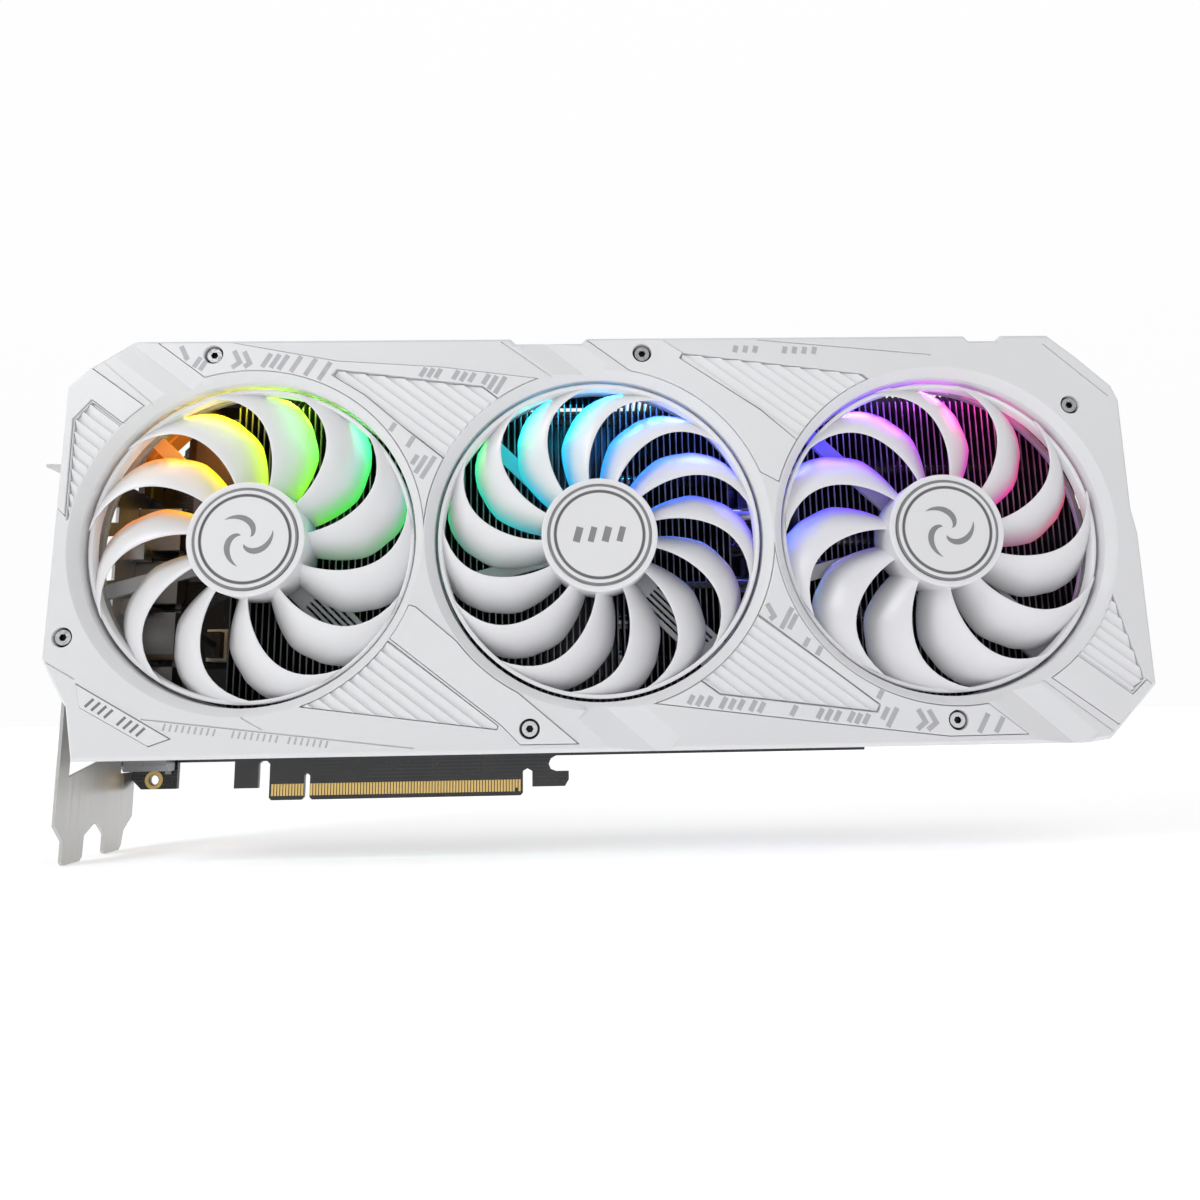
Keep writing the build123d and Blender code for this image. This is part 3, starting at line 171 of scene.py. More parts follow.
# ---- material building blocks -----------------------------------------------------------------
class Paint:
    """A principled material and short ways to add noise, ramps and bump to it."""

    def __init__(self, name, colour, rough=0.5, metal=0.0):
        self.material = bpy.data.materials.new(name)
        self.material.use_nodes = True
        self.tree = self.material.node_tree
        self.shader = self.tree.nodes["Principled BSDF"]
        self.colour = colour
        self.shader.inputs["Base Color"].default_value = (*colour, 1)
        self.shader.inputs["Roughness"].default_value = rough
        self.shader.inputs["Metallic"].default_value = metal
        self.rough = rough
        self.space = self.node("ShaderNodeTexCoord").outputs["Object"]
        self.height = None

    def node(self, kind, **values):
        made = self.tree.nodes.new(kind)
        for key, value in values.items():
            setattr(made, key, value)
        return made

    def link(self, source, target):
        self.tree.links.new(source, target)

    def set(self, **values):
        for key, value in values.items():
            self.shader.inputs[key.replace("_", " ")].default_value = value
        return self

    def scaled(self, scale, rotate=(0, 0, 0)):
        mapping = self.node("ShaderNodeMapping")
        mapping.inputs["Scale"].default_value = scale
        mapping.inputs["Rotation"].default_value = rotate
        self.link(self.space, mapping.inputs["Vector"])
        return mapping.outputs["Vector"]

    def noise(self, scale, detail=3.0, stretch=(1, 1, 1), rotate=(0, 0, 0)):
        texture = self.node("ShaderNodeTexNoise")
        texture.inputs["Scale"].default_value = scale
        texture.inputs["Detail"].default_value = detail
        self.link(self.scaled(stretch, rotate), texture.inputs["Vector"])
        return texture.outputs["Fac"]

    def math(self, operation, a, b=None, clamp=False):
        made = self.node("ShaderNodeMath", operation=operation, use_clamp=clamp)
        for socket, value in zip(made.inputs, (a, b)):
            if value is None:
                continue
            if isinstance(value, (int, float)):
                socket.default_value = value
            else:
                self.link(value, socket)
        return made.outputs[0]

    def remap(self, value, low, high, to_low, to_high, smooth=False):
        made = self.node("ShaderNodeMapRange")
        made.interpolation_type = "SMOOTHSTEP" if smooth else "LINEAR"
        self.link(value, made.inputs["Value"])
        for key, number in (("From Min", low), ("From Max", high), ("To Min", to_low),
                            ("To Max", to_high)):
            made.inputs[key].default_value = number
        return made.outputs["Result"]

    def mix(self, factor, a, b):
        made = self.node("ShaderNodeMix", data_type="RGBA")
        for socket, value in ((made.inputs["Factor"], factor), (made.inputs[6], a),
                              (made.inputs[7], b)):
            if isinstance(value, tuple):
                socket.default_value = (*value, 1)
            elif isinstance(value, (int, float)):
                socket.default_value = value
            else:
                self.link(value, socket)
        return made.outputs[2]

    def colour_from(self, source):
        self.link(source, self.shader.inputs["Base Color"])
        self.last_colour = source
        return self

    def vary_colour(self, scale, amount, stretch=(1, 1, 1)):
        darker = tuple(c * (1 - amount) for c in self.colour)
        lighter = tuple(min(1.0, c * (1 + amount)) for c in self.colour)
        field = self.remap(self.noise(scale, 4.0, stretch), 0.3, 0.7, 0.0, 1.0)
        return self.colour_from(self.mix(field, darker, lighter))

    def vary_rough(self, scale, amount, stretch=(1, 1, 1)):
        field = self.remap(self.noise(scale, 4.0, stretch), 0.3, 0.7,
                           max(0.02, self.rough - amount), min(1.0, self.rough + amount))
        self.link(field, self.shader.inputs["Roughness"])
        return self

    def bump(self, height, strength, distance):
        bump = self.node("ShaderNodeBump")
        bump.inputs["Strength"].default_value = strength
        bump.inputs["Distance"].default_value = distance
        self.link(height, bump.inputs["Height"])
        if self.height is not None:
            self.link(self.height, bump.inputs["Normal"])
        self.height = bump.outputs["Normal"]
        self.link(self.height, self.shader.inputs["Normal"])
        return self

    def world_xyz(self):
        split = self.node("ShaderNodeSeparateXYZ")
        self.link(self.node("ShaderNodeNewGeometry").outputs["Position"], split.inputs[0])
        return split.outputs

    def object_xyz(self):
        split = self.node("ShaderNodeSeparateXYZ")
        self.link(self.space, split.inputs[0])
        return split.outputs

    def normal_xyz(self):
        split = self.node("ShaderNodeSeparateXYZ")
        self.link(self.node("ShaderNodeNewGeometry").outputs["Normal"], split.inputs[0])
        return split.outputs

    def square_sum(self, a, b):
        return self.math("ADD", self.math("MULTIPLY", a, a), self.math("MULTIPLY", b, b))


def floor_paint():
    paint = Paint("floor_white", (0.93, 0.93, 0.935), 0.85)
    paint.vary_colour(1.2, 0.01).vary_rough(9.0, 0.04)
    paint.bump(paint.noise(260.0), 0.05, 0.0005)
    paint.shader.inputs["Emission Color"].default_value = (1, 1, 1, 1)
    x, y, _ = paint.world_xyz()
    square = paint.square_sum(x, y)
    (near, low), (far, high) = FLOOR_GLOW
    away = paint.remap(paint.math("SQRT", square), near, far, low, high, smooth=True)
    paint.link(away, paint.shader.inputs["Emission Strength"])
    return paint.material


def moulded(name, colour, rough=0.42, grain=0.06, coat=0.0):
    """Moulded plastic: fine spark-erosion grain, faint flow shading, slightly uneven gloss."""
    paint = Paint(name, colour, rough)
    paint.vary_colour(14.0, 0.018).vary_rough(220.0, 0.05)
    paint.bump(paint.noise(2600.0, 2.0), grain, 0.00012)
    paint.bump(paint.noise(34.0, 2.0), 0.05, 0.0004)
    paint.set(Coat_Weight=coat, Coat_Roughness=0.2)
    return paint


def metal(name, colour, rough=0.3, stretch=(1, 1, 1), streak=0.12, scale=900.0):
    """Metal with a brushed or turned grain along the axis that stretch leaves short."""
    paint = Paint(name, colour, rough, 1.0)
    grain = paint.noise(scale, 6.0, stretch)
    darker = tuple(c * (1 - streak) for c in colour)
    paint.colour_from(paint.mix(paint.remap(grain, 0.3, 0.7, 0, 1), darker, colour))
    field = paint.remap(grain, 0.25, 0.75, max(0.05, rough - 0.1), rough + 0.14)
    paint.link(field, paint.shader.inputs["Roughness"])
    paint.bump(grain, 0.08, 0.00006)
    paint.bump(paint.noise(30.0, 2.0), 0.03, 0.0004)
    return paint


# hue of the light along the card: place in mm, colour
RAINBOW = [(-52, (1.0, 0.20, 0.02)), (-32, (1.0, 0.36, 0.02)), (-14, (1.0, 0.84, 0.0)),
           (2, (0.62, 0.95, 0.02)), (18, (0.10, 0.80, 0.06)), (44, (0.01, 0.66, 0.12)),
           (60, (0.0, 0.60, 0.45)), (80, (0.0, 0.55, 0.78)), (106, (0.03, 0.36, 1.0)),
           (134, (0.10, 0.13, 0.95)), (168, (0.10, 0.09, 0.90)), (192, (0.28, 0.07, 0.90)),
           (212, (0.70, 0.06, 0.66)), (236, (0.92, 0.02, 0.20)), (256, (0.9, 0.02, 0.08))]


def rainbow_at(x_mm):
    for (x0, c0), (x1, c1) in zip(RAINBOW, RAINBOW[1:]):
        if x_mm <= x1:
            t = max(0.0, (x_mm - x0) / (x1 - x0))
            return tuple(a + (b - a) * t for a, b in zip(c0, c1))
    return RAINBOW[-1][1]


def rainbow_node(paint, x_socket):
    low, high = RAINBOW[0][0], RAINBOW[-1][0]
    place = paint.remap(x_socket, low * MM, high * MM, 0.0, 1.0)
    ramp = paint.node("ShaderNodeValToRGB")
    stops = ramp.color_ramp.elements
    while len(stops) < len(RAINBOW):
        stops.new(0.5)
    for stop, (x, colour) in zip(stops, RAINBOW):
        stop.position = (x - low) / (high - low)
        stop.color = (*colour, 1)
    paint.link(place, ramp.inputs["Fac"])
    return ramp.outputs["Color"]


# radius and Y at which a blade's lit band starts, at its root and its tip, and where it is full, mm
GLOW_STARTS = ((18.0, -45.0), (44.0, -41.6))
GLOW_FULL_Y = -38.2
GLOW_Z = (70, 90)               # none below the first height, full above the second, mm
GLOW_STRENGTH = 0.62


def fan_white(name, hub):
    """White blade plastic with the strip's coloured light painted on where it is deep and high, and painted shade
    greying it where it is deep.
    """
    paint = moulded(name, (0.84, 0.84, 0.86), 0.34, 0.03, 0.12)
    x, y, z = paint.world_xyz()
    dx = paint.math("SUBTRACT", x, hub.x)
    dz = paint.math("SUBTRACT", z, hub.z)
    square = paint.square_sum(dx, dz)
    radius = paint.math("SQRT", square)
    # the lit band is broad at a blade's root and narrow at its tip
    (root, root_y), (tip, tip_y) = GLOW_STARTS
    start = paint.remap(radius, root * MM, tip * MM, root_y * MM, tip_y * MM)
    run = paint.math("SUBTRACT", y, start)
    reach = paint.math("SUBTRACT", GLOW_FULL_Y * MM, start)
    depth = paint.math("DIVIDE", run, reach, clamp=True)
    deep = paint.math("POWER", depth, 1.7)
    high = paint.remap(z, *(v * MM for v in GLOW_Z), 0.0, 1.0, smooth=True)
    clear_of_hub = paint.remap(radius, (R_HUB + 0.1) * MM, (R_HUB + 2.0) * MM, 0.0, 1.0)
    glow = paint.math("MULTIPLY", paint.math("MULTIPLY", deep, high), clear_of_hub)
    # painted light: the blades glow with the strip's colours by emission where they are deep and high
    paint.link(rainbow_node(paint, x), paint.shader.inputs["Emission Color"])
    strength = paint.math("MULTIPLY", glow, GLOW_STRENGTH)
    paint.link(strength, paint.shader.inputs["Emission Strength"])
    # painted shade: the blade turns greyer the deeper it lies behind the front
    shade = paint.math("MULTIPLY", deep, 0.45)
    dim = paint.mix(shade, paint.last_colour, (0.30, 0.30, 0.315))
    # painted light: the strip's colour is also mixed into the base colour where the blade glows
    painted_glow_colour = paint.mix(paint.math("MULTIPLY", glow, 0.97), dim, rainbow_node(paint, x))
    paint.colour_from(painted_glow_colour)
    return paint.material


# ---- the materials ------------------------------------------------------------------------------
INSIDE_X, INSIDE_Z = 100, 78    # a place well inside the shroud, mm
SHADE_FROM_Y = -42.2             # inner walls are darkened with painted shade behind this, mm
FACING = 0.5                    # a normal's part along Y that counts as facing that way
# the strip's light: none at the first place, full at the second, mm
CARRIER_LIT_X = (-34, -44)
CARRIER_LIT_Z = (112, 120)
STRUT_LIT_Z = (92, 104)
FIN_EDGE_Y = (-30.45, -30.1)    # lighter in patches at the first, black from the second, mm


def shroud_paint():
    """White outside; painted shade makes the inner walls behind the fans' ducts near black."""
    paint = moulded("white_shroud", (0.775, 0.78, 0.795), 0.42)
    x, y, z = paint.object_xyz()
    normal = paint.normal_xyz()
    across = paint.math("MULTIPLY", paint.math("SUBTRACT", x, INSIDE_X * MM), normal["X"])
    along = paint.math("MULTIPLY", paint.math("SUBTRACT", z, INSIDE_Z * MM), normal["Z"])
    inward = paint.math("LESS_THAN", paint.math("ADD", across, along), -1 * MM)
    rear = paint.math("GREATER_THAN", normal["Y"], FACING)
    behind = paint.math("GREATER_THAN", y, SHADE_FROM_Y * MM)
    # painted shade: walls facing inward or to the rear, behind the ducts, are made near black
    dark = paint.math("MULTIPLY", paint.math("MAXIMUM", inward, rear), behind)
    paint.colour_from(paint.mix(dark, paint.last_colour, (0.05, 0.05, 0.052)))
    return paint.material


def face_screw_paint():
    """Bright screw heads, with painted shade making the recess and the side below the head near black."""
    paint = metal("face_screw", (0.80, 0.80, 0.81), 0.28)
    y = paint.object_xyz()[1]
    recess_shade = paint.remap(y, SCREW_TOP_Y + 0.12 * MM, SCREW_TOP_Y + 0.3 * MM, 0.0, 1.0)
    # painted shade: near black in the recess and down the side
    paint.colour_from(paint.mix(recess_shade, paint.last_colour, (0.02, 0.02, 0.02)))
    return paint.material


def backplate_paint():
    """White outside, black insulating film on the face turned to the board."""
    paint = moulded("white_backplate", (0.79, 0.795, 0.81), 0.36, 0.1)
    film = paint.math("LESS_THAN", paint.normal_xyz()["Y"], -FACING)
    paint.colour_from(paint.mix(film, paint.last_colour, (0.02, 0.02, 0.021)))
    return paint.material


def carrier_paint():
    """Dark translucent amber moulding, lit where the strip's end shines on it."""
    paint = moulded("strip_carrier", (0.020, 0.013, 0.011), 0.4, 0.04, 0.1)
    x, _, z = paint.object_xyz()
    near_end = paint.remap(x, *(v * MM for v in CARRIER_LIT_X), 0.0, 1.0, smooth=True)
    near_top = paint.remap(z, *(v * MM for v in CARRIER_LIT_Z), 0.0, 1.0, smooth=True)
    lit = paint.math("MULTIPLY", near_end, near_top)
    paint.colour_from(paint.mix(paint.math("MULTIPLY", lit, 0.8), paint.last_colour,
                                (0.80, 0.30, 0.03)))
    paint.link(rainbow_node(paint, x), paint.shader.inputs["Emission Color"])
    paint.link(paint.math("MULTIPLY", lit, 0.30), paint.shader.inputs["Emission Strength"])
    return paint.material


def frame_paint():
    """Grey fan frame, its uppermost struts showing the strip's light."""
    paint = moulded("grey_plastic", (0.46, 0.465, 0.48), 0.5)
    x, _, z = paint.world_xyz()
    # offset from the nearest hub, for the struts but not the ring round the duct
    pitch = HUBS["centre"].x - HUBS["left"].x
    from_left = paint.math("SUBTRACT", x, HUBS["left"].x)
    nearest = paint.math("ROUND", paint.math("DIVIDE", from_left, pitch))
    dx = paint.math("SUBTRACT", from_left, paint.math("MULTIPLY", nearest, pitch))
    dz = paint.math("SUBTRACT", z, HUBS["left"].z)
    square = paint.square_sum(dx, dz)
    strut = paint.math("LESS_THAN", square, (R_BORE * MM) ** 2)
    high = paint.remap(z, *(v * MM for v in STRUT_LIT_Z), 0.0, 0.8, smooth=True)
    high = paint.math("MULTIPLY", high, strut)
    paint.colour_from(paint.mix(high, paint.last_colour, rainbow_node(paint, x)))
    paint.link(rainbow_node(paint, x), paint.shader.inputs["Emission Color"])
    paint.link(paint.math("MULTIPLY", high, 0.3), paint.shader.inputs["Emission Strength"])
    return paint.material


# lined rings on a hub cap: radius and half width, mm
CAP_LINES = ((12.95, 0.42), (14.95, 0.5))


def cap_paint(side):
    """Hub cap: white, with two turned rings lined in grey."""
    paint = moulded(f"cap_white_{side}", (0.82, 0.822, 0.835), 0.36, 0.03, 0.1)
    x, _, z = paint.object_xyz()
    dx = paint.math("SUBTRACT", x, HUBS[side].x)
    dz = paint.math("SUBTRACT", z, HUBS[side].z)
    square = paint.square_sum(dx, dz)
    radius = paint.math("SQRT", square)
    lines = None
    for middle, half in CAP_LINES:
        away = paint.math("ABSOLUTE", paint.math("SUBTRACT", radius, middle * MM))
        line = paint.remap(away, half * MM, (half + 0.12) * MM, 1.0, 0.0)
        lines = line if lines is None else paint.math("MAXIMUM", lines, line)
    paint.colour_from(paint.mix(lines, paint.last_colour, (0.24, 0.24, 0.25)))
    return paint.material


def black_fin():
    """Black coated fin, its front edge a little lighter in patches."""
    paint = Paint("black_fin", (0.014, 0.014, 0.016), 0.42, 0.35)
    paint.vary_colour(60.0, 0.3).vary_rough(160.0, 0.12)
    y = paint.object_xyz()[1]
    edge = paint.remap(y, *(v * MM for v in FIN_EDGE_Y), 1.0, 0.0)
    paler_edge = paint.math("MULTIPLY", edge, paint.remap(paint.noise(90.0), 0.3, 0.7, 0.25, 1.0))
    paint.colour_from(paint.mix(paler_edge, paint.last_colour, (0.30, 0.30, 0.31)))
    paint.bump(paint.noise(1400.0, 2.0), 0.08, 0.0001)
    return paint.material


def board_paint():
    """Black solder mask with faint copper runs under it."""
    paint = Paint("solder_mask", (0.012, 0.0125, 0.014), 0.3)
    runs = paint.node("ShaderNodeTexBrick", offset=0.5)
    runs.inputs["Scale"].default_value = 1.0
    runs.inputs["Brick Width"].default_value = 0.021
    runs.inputs["Row Height"].default_value = 0.0012
    runs.inputs["Mortar Size"].default_value = 0.00018
    turned = paint.node("ShaderNodeMapping")
    turned.inputs["Rotation"].default_value = (math.radians(90), 0, 0)
    paint.link(paint.space, turned.inputs["Vector"])
    paint.link(turned.outputs[0], runs.inputs["Vector"])
    patch = paint.remap(paint.noise(42.0, 1.0), 0.48, 0.56, 0.0, 1.0)
    line = paint.math("MULTIPLY", runs.outputs["Fac"], patch)
    paint.colour_from(paint.mix(line, (0.010, 0.0105, 0.012), (0.026, 0.027, 0.031)))
    paint.vary_rough(90.0, 0.08)
    paint.bump(line, 0.15, 0.00005)
    paint.set(Coat_Weight=0.3, Coat_Roughness=0.15)
    return paint.material


def light_guide():
    """Frosted diffuser lit from below, its hue running along the card."""
    paint = Paint("light_guide", (0.75, 0.8, 0.85), 0.4)
    x = paint.object_xyz()[0]
    paint.colour_from(rainbow_node(paint, x))
    paint.link(rainbow_node(paint, x), paint.shader.inputs["Emission Color"])
    paint.shader.inputs["Emission Strength"].default_value = 0.9
    paint.vary_rough(300.0, 0.06)
    paint.bump(paint.noise(900.0, 2.0), 0.08, 0.0001)
    return paint.material


def winding():
    paint = Paint("winding", (0.62, 0.25, 0.10), 0.3, 0.8)
    wave = paint.node("ShaderNodeTexWave", bands_direction="Y")
    wave.inputs["Scale"].default_value = 1100.0
    paint.link(paint.space, wave.inputs["Vector"])
    paint.colour_from(paint.mix(wave.outputs["Fac"], (0.30, 0.10, 0.04), (0.70, 0.30, 0.12)))
    paint.bump(wave.outputs["Fac"], 0.4, 0.0001)
    return paint.material


def sleeve():
    """Black woven cable sleeve."""
    paint = Paint("lead_sleeve", (0.018, 0.018, 0.02), 0.6)
    weave = paint.node("ShaderNodeTexChecker")
    weave.inputs["Scale"].default_value = 1500.0
    paint.link(paint.scaled((1, 1, 1), (0.6, 0.6, 0.8)), weave.inputs["Vector"])
    paint.colour_from(paint.mix(weave.outputs["Fac"], (0.012, 0.012, 0.013), (0.045, 0.045, 0.05)))
    paint.bump(weave.outputs["Fac"], 0.3, 0.0001)
    return paint.material


def materials():
    along_z = (0.06, 1, 0.01)
    return {
        "white_shroud": shroud_paint(),
        "white_trim": moulded("white_trim", (0.80, 0.805, 0.82), 0.4).material,
        "white_ribs": moulded("white_ribs", (0.80, 0.805, 0.82), 0.42).material,
        "screw_steel": metal("screw_steel", (0.55, 0.55, 0.57), 0.25).material,
        "white_fan": moulded("white_cap", (0.76, 0.765, 0.785), 0.36, 0.03, 0.1).material,
        "rotor_steel": metal("rotor_steel", (0.42, 0.42, 0.44), 0.3, (1, 0.02, 1)).material,
        "grey_plastic": frame_paint(),
        "bearing_brass": metal("bearing_brass", (0.68, 0.48, 0.2), 0.35).material,
        "winding_copper": winding(),
        "black_fin": black_fin(),
        "nickel_pipe": metal("nickel_pipe", (0.62, 0.6, 0.57), 0.22, (0.02, 1, 1)).material,
        "base_aluminium": metal("base_aluminium", (0.10, 0.10, 0.11), 0.4).material,
        "solder_mask": board_paint(),
        "gold": metal("gold", (0.86, 0.60, 0.22), 0.28, (1, 1, 0.05), 0.2).material,
        "chip_substrate": moulded("chip_substrate", (0.02, 0.09, 0.04), 0.4).material,
        "silicon": metal("silicon", (0.18, 0.19, 0.24), 0.08).material,
        "chip_black": moulded("chip_black", (0.02, 0.02, 0.022), 0.55).material,
        "choke_grey": moulded("choke_grey", (0.16, 0.165, 0.175), 0.6, 0.2).material,
        "capacitor_can": metal("capacitor_can", (0.66, 0.66, 0.68), 0.28).material,
        "socket_black": moulded("socket_black", (0.018, 0.018, 0.02), 0.5).material,
        "pin_brass": metal("pin_brass", (0.8, 0.66, 0.38), 0.25).material,
        "port_steel": metal("port_steel", (0.34, 0.34, 0.35), 0.34, along_z).material,
        "bracket_steel": metal("bracket_steel", (0.60, 0.595, 0.58), 0.34, along_z, 0.1).material,
        "standoff_steel": metal("standoff_steel", (0.5, 0.5, 0.51), 0.35).material,
        "white_backplate": backplate_paint(),
        "black_screw": metal("black_screw", (0.05, 0.05, 0.055), 0.35).material,
        "spring_steel": metal("spring_steel", (0.42, 0.42, 0.44), 0.3).material,
        "pad_grey": moulded("pad_grey", (0.28, 0.33, 0.38), 0.9, 0.3).material,
        "light_diffuser": light_guide(),
        "led_white": light_guide(),
        "switch_black": moulded("switch_black", (0.02, 0.02, 0.022), 0.45).material,
        "header_white": moulded("header_white", (0.75, 0.72, 0.62), 0.5).material,
        "lead_black": sleeve(),
    }


def finish_nodes(made):
    slots = {part["node"]: part["material_slot"] for part in frame["record"]["subparts"]}
    for name, node in NODES.items():
        node.data.materials.clear()
        node.data.materials.append(made[slots[name]])
    for side in HUBS:
        NODES[f"fan_{side}_cap"].data.materials[0] = cap_paint(side)
    NODES["shroud_screws"].data.materials[0] = face_screw_paint()


# crisp moulded or stamped nodes whose edges get a small rounding: width in mm
ROUNDED = {"shroud": 0.35, "trim_upper_left": 0.2, "trim_top_left": 0.2, "trim_name_plate": 0.2,
           "trim_lower_centre": 0.2, "trim_top_centre": 0.2, "trim_lower_right": 0.2,
           "trim_tail_corner": 0.2, "fan_left_cap": 0.15, "fan_centre_cap": 0.15,
           "fan_right_cap": 0.15, "backplate": 0.25, "fan_frames": 0.25, "power_sockets": 0.15,
           "chokes": 0.25, "io_bracket": 0.08, "shroud_screws": 0.15}


def round_edges():
    for name, width in ROUNDED.items():
        node = NODES[name]
        weld = node.modifiers.new("weld", "WELD")
        weld.merge_threshold = 1e-6
        bevel = node.modifiers.new("round", "BEVEL")
        bevel.width = width * MM
        bevel.segments = 2
        bevel.limit_method = "ANGLE"
        bevel.angle_limit = math.radians(32)
        bevel.harden_normals = True


# ---- fans ---------------------------------------------------------------------------------------
BLADES = {"left": 11, "centre": 13, "right": 11}
PHASE = {"left": 8.6, "centre": -11.6, "right": 12.2}
R_RING = 47.6
R_RING_IN = 46.4
# the hub's wall and its front, round the seat of the cap: radius and Y
HUB_PROFILE = [(15.4, -37.2), (R_HUB, -37.2), (R_HUB, -49.6), (15.25, -49.6), (15.25, -49.0),
               (1.6, -49.0), (1.6, -47.4), (15.4, -47.4)]
RING_Y = {"left": (-45.0, -41.4), "centre": (-46.8, -42.3), "right": (-45.0, -41.4)}
Y_LEAD = -46.3
BLADE_DEPTH = 8.4
BLADE_T = 1.7
CAMBER = 0.9
# radius and the angle a blade spans there, for eleven blades
WIDTHS = [(16.0, 20.0), (25.0, 22.0), (32.0, 23.5), (38.0, 22.0), (43.0, 24.0), (47.5, 29.0)]
BLADE_ROOT, BLADE_TIP = 0.6, 0.5    # how far a blade runs into the hub and the ring
RADIAL_STEPS = 22
CHORD_STEPS = 12


def blade_width(radius):
    """Angle that a blade spans at a radius, in degrees, for eleven blades."""
    for (r0, w0), (r1, w1) in zip(WIDTHS, WIDTHS[1:]):
        if radius <= r1:
            return w0 + (w1 - w0) * (radius - r0) / (r1 - r0)
    return WIDTHS[-1][1]


def blade_sweep(radius):
    """How far the leading edge has swept round at a radius, in degrees."""
    u = max(radius - R_HUB, 0.0) / (R_RING_IN - R_HUB)
    return 22.0 * u ** 1.4 + 12.0 * u ** 7


def blade_loop(radius, scale):
    """The blade's section at a radius, as (angle, y) round its edge, rounded at the front."""
    lead = blade_sweep(radius)
    width = scale * blade_width(radius)

    def middle(t):
        arc = math.radians(lead - width * t) * radius
        y = Y_LEAD + BLADE_DEPTH * (0.72 * t + 0.28 * t * t) - 2 * CAMBER * t * (1 - t)
        return arc, y

    upper, lower = [], []
    for j in range(CHORD_STEPS + 1):
        t = 0.5 - 0.5 * math.cos(math.pi * j / CHORD_STEPS)
        s, y = middle(t)
        s2, y2 = middle(min(1.0, t + 0.01))
        s1, y1 = middle(max(0.0, t - 0.01))
        ds, dy = s2 - s1, y2 - y1
        length = math.hypot(ds, dy)
        thick = BLADE_T * (1.55 * math.sqrt(t) - 1.05 * t) * (1.0 - t) ** 0.25 + 0.12
        ns, ny = dy / length, -ds / length
        if ny > 0:
            ns, ny = -ns, -ny
        upper.append((s + ns * thick / 2, y + ny * thick / 2))
        lower.append((s - ns * thick / 2, y - ny * thick / 2))
    loop = upper + lower[-2:0:-1]
    return [(s / radius, y) for s, y in loop]


def add_blade(bm, centre, phase, hand, scale):
    """One blade, from just inside the hub's wall to just inside the ring's."""
    inner, outer = R_HUB - BLADE_ROOT, R_RING_IN + BLADE_TIP
    rings = []
    for i in range(RADIAL_STEPS + 1):
        radius = inner + (outer - inner) * i / RADIAL_STEPS
        ring = []
        for angle, y in blade_loop(radius, scale):
            a = math.radians(phase) + hand * angle
            ring.append(bm.verts.new((centre.x + radius * MM * math.cos(a), y * MM,
                                      centre.z + radius * MM * math.sin(a))))
        rings.append(ring)
    count = len(rings[0])
    for first, second in zip(rings, rings[1:]):
        for k in range(count):
            bm.faces.new((first[k], first[(k + 1) % count], second[(k + 1) % count], second[k]))
    bm.faces.new(rings[0])
    bm.faces.new(list(reversed(rings[-1])))


def add_lathe(bm, centre, profile, segments=144):
    """A closed ring turned about the fan's axis from a closed (radius, y) profile."""
    rings = []
    for radius, y in profile:
        ring = [bm.verts.new((centre.x + radius * MM * math.cos(a), y * MM,
                              centre.z + radius * MM * math.sin(a)))
                for a in (2 * math.pi * k / segments for k in range(segments))]
        rings.append(ring)
    for k in range(len(rings)):
        first, second = rings[k], rings[(k + 1) % len(rings)]
        for j in range(segments):
            bm.faces.new((first[j], first[(j + 1) % segments], second[(j + 1) % segments],
                          second[j]))


def rounded_profile(points, radius=0.35, steps=3):
    """A closed (radius, y) profile with its corners rounded."""
    made = []
    count = len(points)
    for k in range(count):
        before, here, after = (Vector(points[k - 1]), Vector(points[k]),
                               Vector(points[(k + 1) % count]))
        a, b = (before - here), (after - here)
        cut = min(radius, a.length * 0.45, b.length * 0.45)
        start, end = here + a.normalized() * cut, here + b.normalized() * cut
        for j in range(steps + 1):
            t = j / steps
            point = (1 - t) ** 2 * start + 2 * t * (1 - t) * here + t * t * end
            made.append((point.x, point.y))
    return made


def finish_mesh(bm, name, paint, body, smooth_angle=35.0):
    bmesh.ops.recalc_face_normals(bm, faces=bm.faces)
    mesh = bpy.data.meshes.new(name)
    bm.to_mesh(mesh)
    bm.free()
    for polygon in mesh.polygons:
        polygon.use_smooth = True
    mesh.set_sharp_from_angle(angle=math.radians(smooth_angle))
    mesh.materials.append(paint)
    piece = bpy.data.objects.new(name, mesh)
    bpy.context.scene.collection.objects.link(piece)
    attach(piece, body)
    return piece


def make_fan(side, paint):
    """The whole wheel in place of its plainer CAD impeller; the middle one turns the other way."""
    centre = HUBS[side]
    count = BLADES[side]
    hand = -1 if side == "centre" else 1
    bm = bmesh.new()
    for k in range(count):
        add_blade(bm, centre, PHASE[side] + 360.0 / count * k, hand, BLADES["left"] / count)
    add_lathe(bm, centre, rounded_profile(HUB_PROFILE, 0.3))
    y0, y1 = RING_Y[side]
    ring = [(R_RING_IN, y0), (R_RING, y0), (R_RING, y1), (R_RING_IN, y1)]
    add_lathe(bm, centre, rounded_profile(ring, 0.45))
    wheel = finish_mesh(bm, f"fan_{side}_wheel", paint, f"fan_{side}")
    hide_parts(f"fan_{side}_impeller")


def make_fans():
    for side, hub in HUBS.items():
        make_fan(side, fan_white(f"fan_white_{side}", hub))


# ---- light inside --------------------------------------------------------------------------------
STRIP_LAMPS = 12
STRIP_START = -40.0             # first lamp and pitch along the card, mm
STRIP_PITCH = 24.6
STRIP_YZ = (-0.034, 0.131)      # lamps' place and aim, m
STRIP_AIM_YZ = (-0.030, 0.06)
STRIP_SIZE = (0.022, 0.004)
STRIP_POWER = 0.020             # watts, less for lamps left of STRIP_DIM_TO
STRIP_DIM = 0.010
STRIP_DIM_TO = -10


